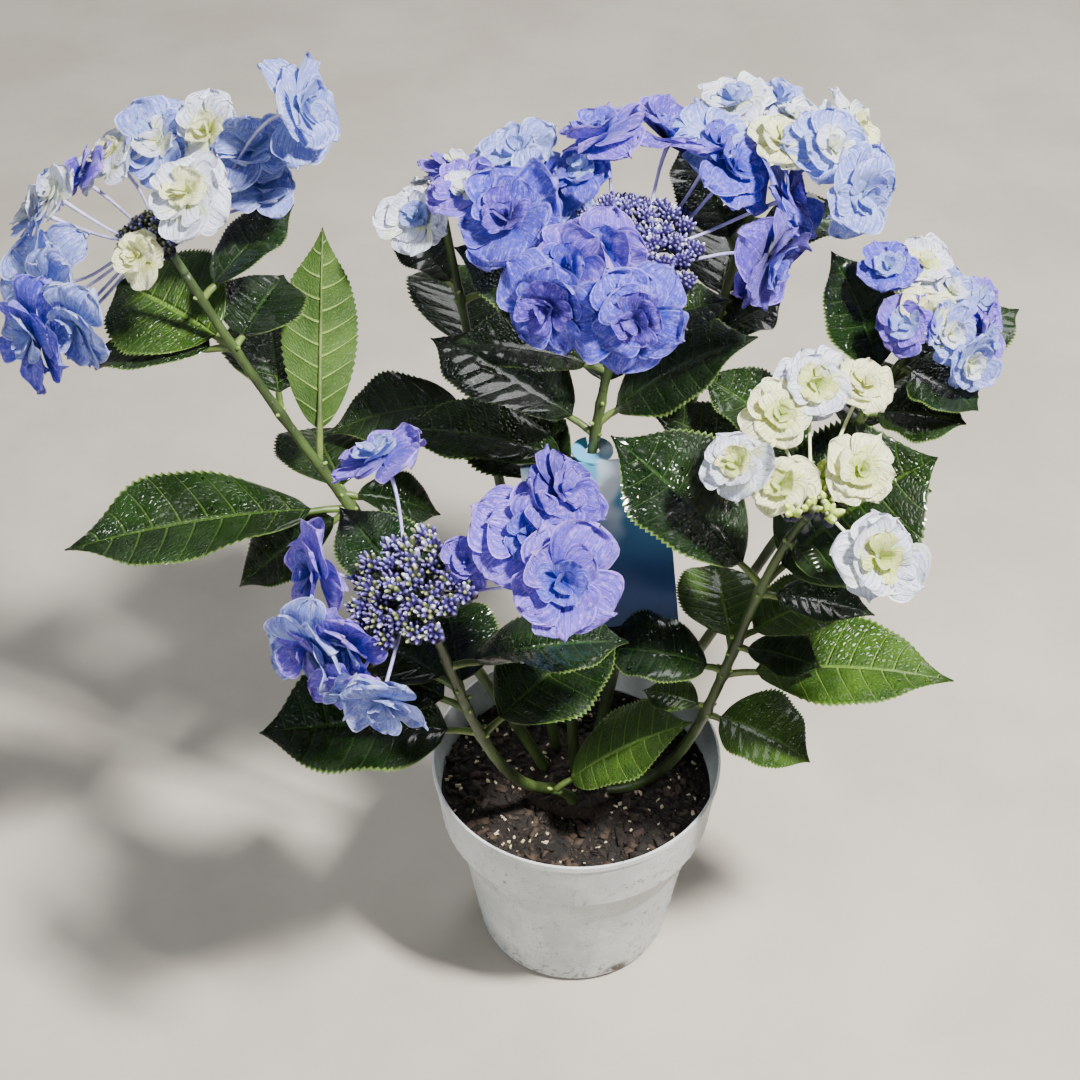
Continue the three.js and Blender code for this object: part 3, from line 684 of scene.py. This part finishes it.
def pull_rings(name, rings, sides):
    """A closed round body: a disc whose upper face is pulled from ring to ring of (radius, height)."""
    bpy.ops.object.select_all(action="DESELECT")
    radius, height = rings[0]
    bpy.ops.mesh.primitive_circle_add(vertices=sides, radius=radius * MM, fill_type="NGON")
    body = bpy.context.object
    body.name = body.data.name = name
    bpy.ops.object.mode_set(mode="EDIT")
    bpy.ops.mesh.select_all(action="SELECT")
    bpy.ops.transform.translate(value=(0, 0, height * MM))
    for next_radius, next_height in rings[1:]:
        rise = (next_height - height) * MM
        bpy.ops.mesh.extrude_region_move(TRANSFORM_OT_translate={"value": (0, 0, rise)})
        share = next_radius / radius
        bpy.ops.transform.resize(value=(share, share, 1), center_override=(0, 0, 0))
        radius, height = next_radius, next_height
    bpy.ops.mesh.select_all(action="SELECT")
    bpy.ops.mesh.normals_make_consistent(inside=False)
    bpy.ops.object.mode_set(mode="OBJECT")
    return body


def apply_modifier(body, name):
    bpy.context.view_layer.objects.active = body
    bpy.ops.object.modifier_apply(modifier=name)


def finish_turned(body, material, node):
    """Soft shading with crisp steps, its finish, and the CAD node it stands for."""
    bpy.ops.object.select_all(action="DESELECT")
    body.select_set(True)
    bpy.context.view_layer.objects.active = body
    bpy.ops.object.shade_smooth_by_angle(angle=radians(SHARP_ANGLE))
    body.data.materials.append(material)
    settle(body, [node])


def outer_radius(z):
    """The pot's outside at a height, or at each height of an array."""
    heights = [FOOT_ROUND, NECK_HEIGHT, STEP_HEIGHT - STEP_DEPTH, STEP_HEIGHT, POT_HEIGHT - LIP_HEIGHT]
    radii = [FOOT_RADIUS, NECK_RADIUS, STEP_RADIUS - STEP_DEPTH, STEP_RADIUS, RIM_RADIUS - LIP_OVERHANG]
    return np.interp(z, heights, radii)


def drill(shell):
    """Cuts the drain holes through the pot's floor."""
    bpy.ops.object.select_all(action="DESELECT")
    cutters = []
    for k in range(DRAIN_COUNT):
        angle = k * 2 * pi / DRAIN_COUNT
        place = (DRAIN_RING * cos(angle) * MM, DRAIN_RING * sin(angle) * MM, WALL / 2 * MM)
        size = {"radius": DRAIN_RADIUS * MM, "depth": WALL * 4 * MM}
        bpy.ops.mesh.primitive_cylinder_add(vertices=DRAIN_SIDES, location=place, **size)
        cutters.append(bpy.context.object)
    for cutter in cutters:
        cut = shell.modifiers.new("drain", "BOOLEAN")
        cut.operation = "DIFFERENCE"
        cut.object = cutter
        apply_modifier(shell, "drain")
        bpy.data.objects.remove(cutter)


def build_pot(material):
    """Foot, neck and collar pulled up to the lip, then the lip turned in and the inside let down."""
    foot = [(FOOT_RADIUS - FOOT_ROUND, 0), (FOOT_RADIUS - 1, 0), (FOOT_RADIUS, FOOT_ROUND)]
    lip_foot = POT_HEIGHT - LIP_HEIGHT
    lip_inside = RIM_RADIUS - LIP_OVERHANG - LIP_WALL
    shell = pull_rings("pot_shell", [
        *bezier(foot, np.linspace(0, 1, 9)).tolist(),
        (NECK_RADIUS - 0.5, NECK_HEIGHT - 3),
        (NECK_RADIUS, NECK_HEIGHT),
        (NECK_RADIUS + 1, NECK_HEIGHT + 2),
        (STEP_RADIUS - STEP_DEPTH, STEP_HEIGHT - STEP_DEPTH),
        (STEP_RADIUS, STEP_HEIGHT),
        (STEP_RADIUS + 0.1, STEP_HEIGHT + 1),
        (outer_radius(lip_foot), lip_foot),
        (RIM_RADIUS, lip_foot + LIP_OVERHANG),
        (RIM_RADIUS, POT_HEIGHT - LIP_ROUND),
        (RIM_RADIUS - LIP_ROUND, POT_HEIGHT),
        (lip_inside + LIP_ROUND / 2, POT_HEIGHT),
        (lip_inside, POT_HEIGHT - LIP_ROUND / 2),
        (STEP_RADIUS - WALL, STEP_HEIGHT),
        (NECK_RADIUS - WALL, NECK_HEIGHT),
        (FOOT_RADIUS - WALL, FOOT_ROUND),
        (FOOT_RADIUS - FOOT_ROUND, WALL),
    ], POT_SIDES)
    drill(shell)
    finish_turned(shell, material, "pot")


def add_pot_drops(heap):
    """Water beads that cling to the outside of the pot."""
    k = np.arange(POT_DROPS)
    turn = np.radians(k * GOLDEN)
    height = DROPS_LOW + (DROPS_HIGH - DROPS_LOW) * chance(k, 2) ** 0.8
    out = turned(RIGHT, BACK, turn)
    places = out * outer_radius(height)[:, None] + UP * height[:, None]
    add_drops(heap, places, unit(out - UP * 0.15), 5, POT_DROP_HEIGHT)


def soil_base(radius):
    """The soil's level, lower round the crown and banked up near the wall."""
    rings = [CROWN_RADIUS + 10, 58, 72]
    return SOIL_LEVEL + float(np.interp(radius, rings, [-SOIL_DISH, SOIL_BANK, 0]))


def build_soil(material):
    """The potting mix: a plug that fills the pot, its top pulled in ring by ring and then roughened."""
    inset = WALL + SOIL_GAP
    edge = float(outer_radius(SOIL_LEVEL)) - inset
    rings = [
        (FOOT_RADIUS - FOOT_ROUND - 2, WALL + 0.3),
        (FOOT_RADIUS - inset, FOOT_ROUND),
        (NECK_RADIUS - inset, NECK_HEIGHT),
        (STEP_RADIUS - inset, STEP_HEIGHT),
    ]
    rings += [(radius, soil_base(radius)) for radius in np.linspace(edge, 0.6, SOIL_RINGS)]
    bed = pull_rings("soil_bed", rings, SOIL_SIDES)
    top = bed.vertex_groups.new(name="top")
    spots = [v.index for v in bed.data.vertices
             if v.co.z > (SOIL_LEVEL - 4) * MM and hypot(v.co.x, v.co.y) < (edge - 2) * MM]
    top.add(spots, 1.0, "REPLACE")
    for name, grain, height in (("mounds", 0.016, 0.006), ("crumbs", 0.0035, 0.003)):
        bumps = bpy.data.textures.new(name, "CLOUDS")
        bumps.noise_scale = grain
        bumps.noise_depth = 3
        lift = bed.modifiers.new(name, "DISPLACE")
        lift.texture = bumps
        lift.texture_coords = "LOCAL"
        lift.direction = "Z"
        lift.strength = height
        lift.mid_level = 0.5
        lift.vertex_group = "top"
        apply_modifier(bed, name)
    surface = kdtree.KDTree(len(spots))
    for index in spots:
        place = bed.data.vertices[index].co
        surface.insert((place.x, place.y, 0), index)
    surface.balance()
    finish_turned(bed, material, "soil")
    return lambda x, y: bed.data.vertices[surface.find((x * MM, y * MM, 0))[1]].co.z / MM


SQUARE = [[-1, -1], [1, -1], [1, 1], [-1, 1]]
CHUNK = np.array([[x, y, z] for z in (-1, 1) for x, y in SQUARE], float)
CHUNK_FACES = np.array([[0, 3, 2, 1], [4, 5, 6, 7], [0, 1, 5, 4], [1, 2, 6, 5], [2, 3, 7, 6], [3, 0, 4, 7]])
GRIT_SLOT = 3


def add_chips(heap, ground_at):
    """Bark chips, crumbs and pale grit, lying on the soil and over the crown's foot."""
    for k in range(CHIP_COUNT):
        angle = wobble(k, 1) * pi
        radius = CHIP_SPREAD * sqrt(chance(k, 2))
        x, y = radius * cos(angle), radius * sin(angle)
        on_crown = hypot(x, y - CROWN_BACK) < CROWN_RADIUS
        ground = CROWN_TOP - 1 if on_crown else ground_at(x, y)
        grit = wobble(k, 3) > GRIT_FROM
        long = CHIP_LEAST + (GRIT_RANGE * abs(wobble(k, 4)) if grit else CHIP_RANGE * chance(k, 4) ** 6)
        slim = 0.22 if wobble(k, 9) > 0.4 else 0.5
        size = np.array([long, long * (slim + 0.2 * abs(wobble(k, 5))), long * (0.7 if grit else 0.2)])
        shape = CHUNK * size * (1 + 0.3 * wobble(np.arange(8)[:, None] + k * 8, np.arange(3)))
        a, b = wobble(k, 6) * pi, wobble(k, 7) * 0.7
        turn_z = np.array([[cos(a), -sin(a), 0], [sin(a), cos(a), 0], [0, 0, 1]])
        turn_x = np.array([[1, 0, 0], [0, cos(b), -sin(b)], [0, sin(b), cos(b)]])
        points = shape @ (turn_z @ turn_x).T + np.array([x, y, ground + size[2] * 0.6])
        slot = GRIT_SLOT if grit else int(abs(wobble(k, 8)) * 3)
        heap.add(points, CHUNK[:, :2] * 0.5 + 0.5, CHUNK_FACES, slot)


# Materials

def shade(colour):
    """A colour as it looks on the screen, such as 0x8f96dc, as light amounts. Any other is left alone."""
    if not isinstance(colour, int):
        return colour
    parts = [((colour >> shift) & 255) / 255 for shift in (16, 8, 0)]
    return (*[p / 12.92 if p <= 0.04045 else ((p + 0.055) / 1.055) ** 2.4 for p in parts], 1.0)


class Field:
    """An output of a node. Arithmetic with it adds the Math nodes that work it out."""

    def __init__(self, tree, socket):
        self.tree = tree
        self.socket = socket

    def math(self, operation, *others, clamp=False):
        numbers = dict(enumerate((self, *others)))
        return self.tree.add("Math", numbers, operation=operation, use_clamp=clamp)[0]

    def __add__(self, other):
        return self.math("ADD", other)

    def __sub__(self, other):
        return self.math("SUBTRACT", other)

    def __mul__(self, other):
        return self.math("MULTIPLY", other)

    def __truediv__(self, other):
        return self.math("DIVIDE", other)

    def __abs__(self):
        return self.math("ABSOLUTE")

    def most(self, other):
        return self.math("MAXIMUM", other)

    def beside(self):
        """How far it is from the middle of its own whole step, 0 to a half."""
        return abs(self.math("FRACT") - 0.5)

    def ease(self, low, high, start=0.0, end=1.0):
        """start below low, end above high, and an even bend between."""
        bounds = {0: self, 1: low, 2: high, 3: start, 4: end}
        return self.tree.add("MapRange", bounds, interpolation_type="SMOOTHSTEP")[0]

    def fade(self, low, high):
        """1 below low, 0 above high, and an even bend between."""
        return self.ease(low, high, 1.0, 0.0)


class Tree:
    """Short ways to add and join the nodes of one material, group or world."""

    def __init__(self, tree):
        self.nodes = tree.nodes
        self.links = tree.links

    def outputs(self, node):
        """A node's outputs, by number and by name."""
        fields = {}
        for number, socket in enumerate(node.outputs):
            fields[number] = fields[socket.name] = Field(self, socket)
        return fields

    def feed(self, node, inputs):
        """Links each field to its input, and sets each plain value on the input itself."""
        for key, value in inputs.items():
            if isinstance(value, Field):
                self.links.new(value.socket, node.inputs[key])
            else:
                node.inputs[key].default_value = value

    def add(self, kind, inputs, **settings):
        node = self.nodes.new("ShaderNode" + kind)
        for key, value in settings.items():
            setattr(node, key, value)
        self.feed(node, inputs)
        return self.outputs(node)

    def place(self, kind="Object"):
        """Where a point is, in metres on Object and on its own leaf, petal or bud on UV."""
        return self.add("TexCoord", {})[kind]

    def axes(self, kind="Object"):
        return self.add("SeparateXYZ", {0: self.place(kind)})

    def mix(self, share, a, b, blend="MIX"):
        colours = {0: share, 6: shade(a), 7: shade(b)}
        return self.add("Mix", colours, data_type="RGBA", blend_type=blend)[2]

    def stretched(self, vector, stretch):
        return self.add("Mapping", {"Vector": vector, "Scale": stretch})[0] if stretch else vector

    def noise(self, vector, scale, detail=3.0, roughness=0.5, stretch=None):
        inputs = {"Vector": self.stretched(vector, stretch), "Scale": scale, "Detail": detail}
        return self.add("TexNoise", {**inputs, "Roughness": roughness})[0]

    def cells(self, vector, scale, feature="F1", stretch=None):
        inputs = {"Vector": self.stretched(vector, stretch), "Scale": scale}
        return self.add("TexVoronoi", inputs, feature=feature)[0]

    def bump(self, height, strength, distance):
        return self.add("Bump", {"Height": height, "Strength": strength, "Distance": distance})[0]


def new_group(name, inputs, outputs):
    """A node group with the sockets named, as (group, node helper, given fields, output node)."""
    group = bpy.data.node_groups.new(name, "ShaderNodeTree")
    for way, sockets in (("INPUT", inputs), ("OUTPUT", outputs)):
        for socket, kind in sockets.items():
            group.interface.new_socket(name=socket, in_out=way, socket_type="NodeSocket" + kind)
    tree = Tree(group)
    given = tree.outputs(tree.nodes.new("NodeGroupInput"))
    return group, tree, given, tree.nodes.new("NodeGroupOutput")


def leaf_veins():
    """Where the side veins and the fine net between them run on a blade, and the relief they give."""
    group, tree, _, end = new_group("leaf_veins", {}, {"Vein": "Float", "Net": "Float", "Relief": "Float"})
    axes = tree.axes("UV")
    across = axes[0] * 2.0 - 1.0
    edge = abs(across)
    count = axes[1] * float(VEINS) + across.math("SIGN") * VEIN_STAGGER
    away = (count + 0.5).beside()
    ribs = (away / (edge * -0.06 + 0.09)).fade(0.4, 1.0)
    vein = ribs.most(edge.fade(0.02, 0.07))
    net = tree.cells(tree.place("UV"), 22.0, "DISTANCE_TO_EDGE", (0.9, 1.9, 1.0))
    puffed = net.math("MULTIPLY", 2.0, clamp=True).math("POWER", 0.6)
    tree.feed(end, {"Vein": vein, "Net": net.fade(0.0, 0.1), "Relief": puffed * 0.5 + vein * -1.5})
    return group


def petal_marbling():
    """A petal's colour from its base to its pale rim, marbled and flecked, with fine veins that fan out."""
    inputs = {"Base": "Color", "Middle": "Color", "Edge": "Color"}
    group, tree, given, end = new_group("petal_marbling", inputs, {"Colour": "Color", "Relief": "Float"})
    axes = tree.axes("UV")
    across = axes[0] * 2.0 - 1.0
    along = axes[1]
    blotch = tree.noise(tree.place(), 130.0, 3.0, 0.6)
    fleck = tree.noise(tree.place(), 420.0, 4.0, 0.7)
    rays = tree.add("CombineXYZ", {0: across * 6.0, 1: along, 2: blotch * 2.0})[0]
    streaks = tree.noise(rays, 2.2, 3.0, 0.6)
    spread = streaks * 1.1 + across * 4.5
    coarse = spread.beside().fade(0.0, 0.09)
    fine = (spread * 2.6).beside().ease(0.0, 0.16, 0.55, 0.0) * along.ease(0.3, 0.6)
    lines = coarse.most(fine) * fleck.ease(0.3, 0.6, 0.35, 1.0)
    marbled = blotch * 1.3 + fleck * 0.5 + along
    colour = tree.mix(marbled.ease(1.05, 1.65), given["Base"], given["Middle"])
    worn = fleck * 0.75 + streaks * 0.45
    pale = worn.ease(0.56, 0.72) * (along + blotch).ease(0.65, 1.25)
    colour = tree.mix(pale * 0.7, colour, given["Edge"])
    deeper = tree.mix(1.0, colour, (0.3, 0.28, 0.58, 1.0), "MULTIPLY")
    colour = tree.mix(lines * 0.85, colour, deeper)
    side = abs(across).ease(0.91, 0.99) * along.ease(0.15, 0.5)
    rim = side.most(along.ease(0.96, 0.995))
    colour = tree.mix(rim * 0.55, colour, given["Edge"])
    tree.feed(end, {"Colour": colour, "Relief": lines * -0.5 + streaks * 0.6 + fleck * 0.35})
    return group


def mottling():
    """Two tones spread by noise, and a finer grain for relief."""
    inputs = {"Base": "Color", "Light": "Color", "Scale": "Float"}
    group, tree, given, end = new_group("mottling", inputs, {"Colour": "Color", "Grain": "Float"})
    blotch = tree.noise(tree.place(), given["Scale"], 5.0, 0.6)
    grain = tree.noise(tree.place(), given["Scale"] * 3.0, 3.0, 0.6)
    colour = tree.mix(blotch.ease(0.32, 0.68), given["Base"], given["Light"])
    tree.feed(end, {"Colour": colour, "Grain": grain})
    return group


VEIN_GROUP = leaf_veins()
MARBLING_GROUP = petal_marbling()
MOTTLING_GROUP = mottling()


def finish(name, look, *settings):
    """A new material, whose shader is fed with what its look works out."""
    material = bpy.data.materials.new(name)
    material.use_nodes = True
    tree = Tree(material.node_tree)
    tree.feed(tree.nodes["Principled BSDF"], look(tree, *settings))
    return material


def leaf_top(tree, base, light, vein, wet):
    """The upper side of a leaf, glossy in patches where its film of water is, with a painted highlight
    along its margin.
    """
    place = tree.place()
    found = tree.add("Group", {}, node_tree=VEIN_GROUP)
    colour = tree.mix(tree.noise(place, 45.0, 4.0, 0.6).ease(0.35, 0.7), base, light)
    colour = tree.mix(found["Net"] * 0.2, colour, light)
    colour = tree.mix(found["Vein"] * 0.7, colour, vein)
    # Painted highlight: a pale green band along the toothed margin
    margin = abs(tree.axes("UV")[0] * 2.0 - 1.0).ease(0.93, 1.0)
    colour = tree.mix(margin * 0.6, colour, 0x708A44)
    film = tree.noise(place, 34.0, 4.0, 0.6)
    relief = tree.noise(place, 420.0, 2.0) * 0.35 + found["Relief"]
    return {
        "Base Color": colour,
        "Roughness": film.ease(0.46, 0.56, 0.42 - 0.28 * wet, 0.5),
        "Specular IOR Level": 0.24,
        "Coat Weight": 0.5 * wet,
        "Coat Roughness": 0.12,
        "Normal": tree.bump(relief, 0.9, 0.0011),
    }


def leaf_under(tree, base, light):
    """The dull lower side of a leaf, where the veins stand out."""
    found = tree.add("Group", {}, node_tree=VEIN_GROUP)
    colour = tree.mix(tree.noise(tree.place(), 60.0, 4.0, 0.6).ease(0.3, 0.7), base, light)
    return {
        "Base Color": tree.mix(found["Vein"] * 0.5, colour, 0x8EA85A),
        "Roughness": 0.55,
        "Specular IOR Level": 0.15,
        "Normal": tree.bump(found["Relief"] * -1.0, 0.7, 0.0006),
    }


def petal(tree, base, middle, edge):
    """Soft petal that lets some light through."""
    colours = {"Base": shade(base), "Middle": shade(middle), "Edge": shade(edge)}
    found = tree.add("Group", colours, node_tree=MARBLING_GROUP)
    normal = tree.bump(found["Relief"], 0.8, 0.0011)
    through = tree.add("BsdfTranslucent", {"Color": found["Colour"], "Normal": normal})
    surface = tree.outputs(tree.nodes["Principled BSDF"])[0]
    both = tree.add("MixShader", {0: 0.28, 1: surface, 2: through[0]})
    tree.feed(tree.nodes["Material Output"], {0: both[0]})
    return {
        "Base Color": found["Colour"],
        "Roughness": 0.6,
        "Sheen Weight": 0.15,
        "Specular IOR Level": 0.3,
        "Normal": normal,
    }


def plain(tree, base, light, roughness, scale, relief=0.3, distance=0.0004):
    """Two tones with a fine relief."""
    tones = {"Base": shade(base), "Light": shade(light), "Scale": scale}
    found = tree.add("Group", tones, node_tree=MOTTLING_GROUP)
    normal = tree.bump(found["Grain"], relief, distance)
    return {"Base Color": found["Colour"], "Roughness": roughness, "Normal": normal}


def clear_water(tree):
    return {"Base Color": (1.0, 1.0, 1.0, 1.0), "Roughness": 0.02, "IOR": 1.33, "Transmission Weight": 1.0}


def bud(tree, low, high, tip):
    """A small closed bud, of mixed tones and pale at its tip."""
    colour = tree.mix(tree.noise(tree.place(), 260.0, 2.0).ease(0.3, 0.7), low, high)
    colour = tree.mix(tree.axes("UV")[1].ease(0.78, 1.0), colour, tip)
    return {"Base Color": colour, "Roughness": 0.4}


def stem_bark(tree, base, light, fleck):
    """Green stem with lengthwise tone and small raised flecks."""
    place = tree.place()
    tone = tree.noise(place, 60.0, 4.0, 0.6, (1.0, 1.0, 0.25))
    spots = tree.cells(place, 420.0, stretch=(1.0, 1.0, 0.45)).fade(0.12, 0.26)
    spots = spots * tree.noise(place, 90.0, 2.0).ease(0.45, 0.6)
    colour = tree.mix(tone.ease(0.3, 0.7), base, light)
    colour = tree.mix(spots * 0.7, colour, fleck)
    normal = tree.bump(spots + tone, 0.5, 0.0005)
    return {"Base Color": colour, "Roughness": 0.45, "Normal": normal}


def pot_plastic(tree):
    """Pale weathered plastic with fine beads of water, painted shade in the crease under its step and a
    soiled foot.
    """
    place = tree.place()
    height = tree.axes()[2]
    cloud = tree.noise(place, 26.0, 5.0, 0.65)
    grain = tree.noise(place, 320.0, 4.0, 0.7)
    streaks = tree.noise(place, 70.0, 4.0, 0.6, (1.0, 1.0, 0.12))
    colour = tree.mix(cloud.ease(0.35, 0.68), 0xB2B7B8, 0xD0D4D5)
    colour = tree.mix(streaks.ease(0.5, 0.75) * 0.35, colour, 0x9EA2A2)
    colour = tree.mix(grain.ease(0.52, 0.7) * 0.4, colour, 0xA6AAAA)
    # Painted shade: a grey band darkens the crease just under the step
    step_crease_shade = abs(height - (STEP_HEIGHT - STEP_DEPTH) * MM).fade(0.0002, 0.0018)
    colour = tree.mix(step_crease_shade * cloud.ease(0.35, 0.6, 0.1, 0.5), colour, 0x8E9392)
    dirt = height.fade(0.002, 0.03) * tree.noise(place, 260.0, 3.0, 0.7).ease(0.54, 0.62) * 0.7
    spot = tree.add("VectorMath", {0: place, 1: SMUDGE}, operation="DISTANCE")["Value"]
    smudge = spot.fade(0.004, 0.011) * tree.noise(place, 300.0).ease(0.36, 0.46)
    colour = tree.mix(dirt.most(smudge), colour, 0x3C342A)
    beads = tree.cells(place, 430.0).fade(0.16, 0.3) * tree.noise(place, 90.0, 2.0).ease(0.46, 0.54)
    colour = tree.mix(beads * 0.35, colour, 0x8F9698)
    roughness = beads * -0.36 + cloud.ease(0.3, 0.7, 0.45, 0.6)
    normal = tree.bump(beads * 1.5 + grain * 0.5, 0.5, 0.0005)
    return {"Base Color": colour, "Roughness": roughness, "Normal": normal}


def card_film(tree):
    """Plain blue film: pale at the top, teal in the middle, deep blue below, with soft pale clouds."""
    place = tree.place()
    height = tree.noise(place, 26.0, 2.0, 0.4) * 0.03 + (tree.axes()[2] - 0.015)
    colour = tree.mix(height.ease(0.235, 0.275), 0x1C3A70, 0x2E6898)
    colour = tree.mix(height.ease(0.27, 0.3), colour, 0x4E94B8)
    cloud = tree.noise(place, 48.0, 1.0, 0.3).ease(0.5, 0.64) * height.ease(0.255, 0.285)
    colour = tree.mix(cloud * 0.8, colour, 0xDDE8F6)
    return {
        "Base Color": colour,
        "Roughness": 0.45,
        "Specular IOR Level": 0.25,
        "Normal": tree.bump(tree.noise(place, 30.0, 1.0), 0.1, 0.001),
    }


LEAF_MATERIALS = [
    finish("leaf_deep", leaf_top, 0x091706, 0x12260A, 0x2A421C, 1.0),
    finish("leaf_mid", leaf_top, 0x0E1D07, 0x1A300E, 0x38501F, 0.7),
    finish("leaf_bright", leaf_top, 0x223A0C, 0x3A5616, 0x5E7C30, 0.5),
    finish("leaf_under", leaf_under, 0x44582A, 0x5E7438),
    finish("leaf_under_bright", leaf_under, 0x2C4416, 0x415A24),
    finish("petiole", plain, 0x3E5020, 0x647638, 0.45, 60.0),
]
PETAL_MATERIALS = [finish(f"petal_{tone}", petal, *colours) for tone, colours in PETAL_COLOURS.items()]
BUD_MATERIALS = [
    finish("bud_violet", bud, 0x1A1238, 0x362A66, 0x746AB4),
    finish("bud_blue", bud, 0x2A2658, 0x4C468C, 0xB4B2E4),
    finish("bud_white", bud, 0x545276, 0x9694B6, 0xF6F6F4),
    finish("bud_olive", bud, 0x20281A, 0x46502E, 0xA8AC7E),
    finish("bud_lime", bud, 0x8FA83E, 0xB4C85C, 0xD6E08C),
    finish("bud_stalk", plain, 0x1E2622, 0x38404A, 0.6, 300.0),
    # Painted shade: near-black blue for the balls under the bud clusters and some of the grey head's buds
    finish("bud_shaded", plain, 0x0E0C22, 0x1C1A3C, 0.6, 300.0),
]
STALKS = {
    "pale": finish("stalk_pale", plain, 0x9E9AC6, 0xBAB6D8, 0.45, 200.0),
    "lilac": finish("stalk_lilac", plain, 0x8F86C4, 0xB3ADDC, 0.45, 200.0),
    "cream": finish("stalk_cream", plain, 0xC9D19A, 0xDDE2B8, 0.45, 200.0),
}
STEM_GREEN = finish("stem_green", stem_bark, 0x222E14, 0x465A2A, 0x2E2022)
STEM_TIP = finish("stem_tip", stem_bark, 0x36482A, 0x5E7444, 0x46304A)
BUD_GREEN = finish("shoot_bud", plain, 0x5F7A34, 0x8AA34C, 0.45, 200.0)
SOIL_DARK = finish("soil_dark", plain, 0x080504, 0x17100B, 0.95, 240.0, 0.9, 0.0015)
CROWN_BARK = finish("crown_bark", plain, 0x17100B, 0x33261B, 0.9, 160.0, 1.0, 0.003)
CHIPS = [
    finish("chip_dark", plain, 0x110B07, 0x1D140E, 0.9, 300.0, 0.8, 0.0008),
    finish("chip_brown", plain, 0x17100B, 0x251B14, 0.9, 300.0, 0.8, 0.0008),
    finish("chip_tan", plain, 0x281D15, 0x423427, 0.85, 300.0, 0.8, 0.0008),
    finish("grit_cream", plain, 0xB0A07E, 0xD0C5A8, 0.8, 300.0, 0.6, 0.0006),
]
FLOOR_GREY = finish("floor_grey", plain, 0xA29B91, 0xADA79D, 0.85, 8.0, 0.1)
WATER = finish("water", clear_water)


# The plant

for seed, (name, shoot) in enumerate(SHOOTS.items(), 1):
    stem = Heap()
    add_shoot(stem, shoot, LEAVES[name], seed)
    stem.make(f"shoot_{name}", [STEM_GREEN, BUD_GREEN], [f"stem_{name}"], "stem")
    blades, drops = Heap(), Heap()
    for k, row in enumerate(LEAVES[name]):
        add_leaf(blades, drops, Blade(shoot, row, seed * 20 + k))
    blades.make(f"leaves_{name}", LEAF_MATERIALS, [f"foliage_{name}"], "leaf")
    drops.make(f"drops_{name}", [WATER], [], "leaf")
    if name not in HEADS:
        continue
    petals, stalks, buds = Heap(), Heap(), Heap()
    add_head(petals, stalks, buds, shoot, HEADS[name], FLORETS[name], seed)
    slot = "cream_petal" if name == "right" else "blue_petal"
    petals.make(f"petals_{name}", PETAL_MATERIALS, [f"head_{name}"], slot)
    stalks.make(f"stalks_{name}", [STALKS[HEADS[name][-1]], STEM_TIP], [], slot)
    buds.make(f"buds_{name}", BUD_MATERIALS, [], slot)


# Pot, soil, crown and card

build_pot(finish("pale_pot_plastic", pot_plastic))
ground_at = build_soil(SOIL_DARK)
chips = Heap()
add_chips(chips, ground_at)
chips.make("soil_chips", CHIPS, [], "soil")
beads = Heap()
add_pot_drops(beads)
beads.make("pot_drops", [WATER], [], "pot")
for name, material in (("crown", CROWN_BARK), ("label_card", finish("card_film", card_film))):
    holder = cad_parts[name].material_slots[0]
    holder.link = "OBJECT"
    holder.material = material


# Floor, light and camera

FLOOR_SIZE = 8
SKY_STRENGTH = 0.22
HORIZON_COLOUR = 0x9A938C
ZENITH_COLOUR = 0xD5DEEA
LENS = 66.67
SENSOR = 36
CAMERA_PLACE = (-0.0188, -0.6912, 0.9119)
CAMERA_PITCH = 47.5

# Each lamp: place, what it is aimed at, size, power and colour
LAMPS = {
    "key": ((0.6, -0.4, 1.6), (0, 0, 0.3), 0.16, 98, (1.0, 0.97, 0.92)),
    "fill": ((-1.1, -1.1, 1.0), (0, 0, 0.3), 1.0, 17, (0.96, 0.98, 1.0)),
    "rim": ((0.6, 1.4, 1.3), (0, 0, 0.35), 0.8, 16, (1.0, 1.0, 1.0)),
}


def add_floor():
    bpy.ops.object.select_all(action="DESELECT")
    bpy.ops.mesh.primitive_plane_add(size=FLOOR_SIZE, location=(0, 0, 0))
    floor = bpy.context.object
    floor.name = "floor"
    floor.data.materials.append(FLOOR_GREY)


def add_lamp(name, place, aim, size, power, colour):
    data = bpy.data.lights.new(name, "AREA")
    data.size = size
    data.energy = power
    data.color = colour
    lamp = bpy.data.objects.new(name, data)
    bpy.context.scene.collection.objects.link(lamp)
    lamp.location = place
    x, y, z = (a - p for a, p in zip(aim, place))
    lamp.rotation_euler = (atan2(hypot(x, y), -z), 0, atan2(y, x) - pi / 2)


def add_world():
    world = bpy.data.worlds.new("soft_sky")
    bpy.context.scene.world = world
    world.use_nodes = True
    tree = Tree(world.node_tree)
    sky = tree.mix(tree.axes()[2].ease(-0.1, 0.6), HORIZON_COLOUR, ZENITH_COLOUR)
    tree.feed(tree.nodes["Background"], {"Color": sky, "Strength": SKY_STRENGTH})


def add_camera():
    data = bpy.data.cameras.new("camera")
    data.lens = LENS
    data.sensor_width = SENSOR
    camera = bpy.data.objects.new("camera", data)
    bpy.context.scene.collection.objects.link(camera)
    camera.location = CAMERA_PLACE
    camera.rotation_euler = (radians(CAMERA_PITCH), 0, 0)
    bpy.context.scene.camera = camera


add_floor()
add_world()
for name, settings in LAMPS.items():
    add_lamp(name, *settings)
add_camera()
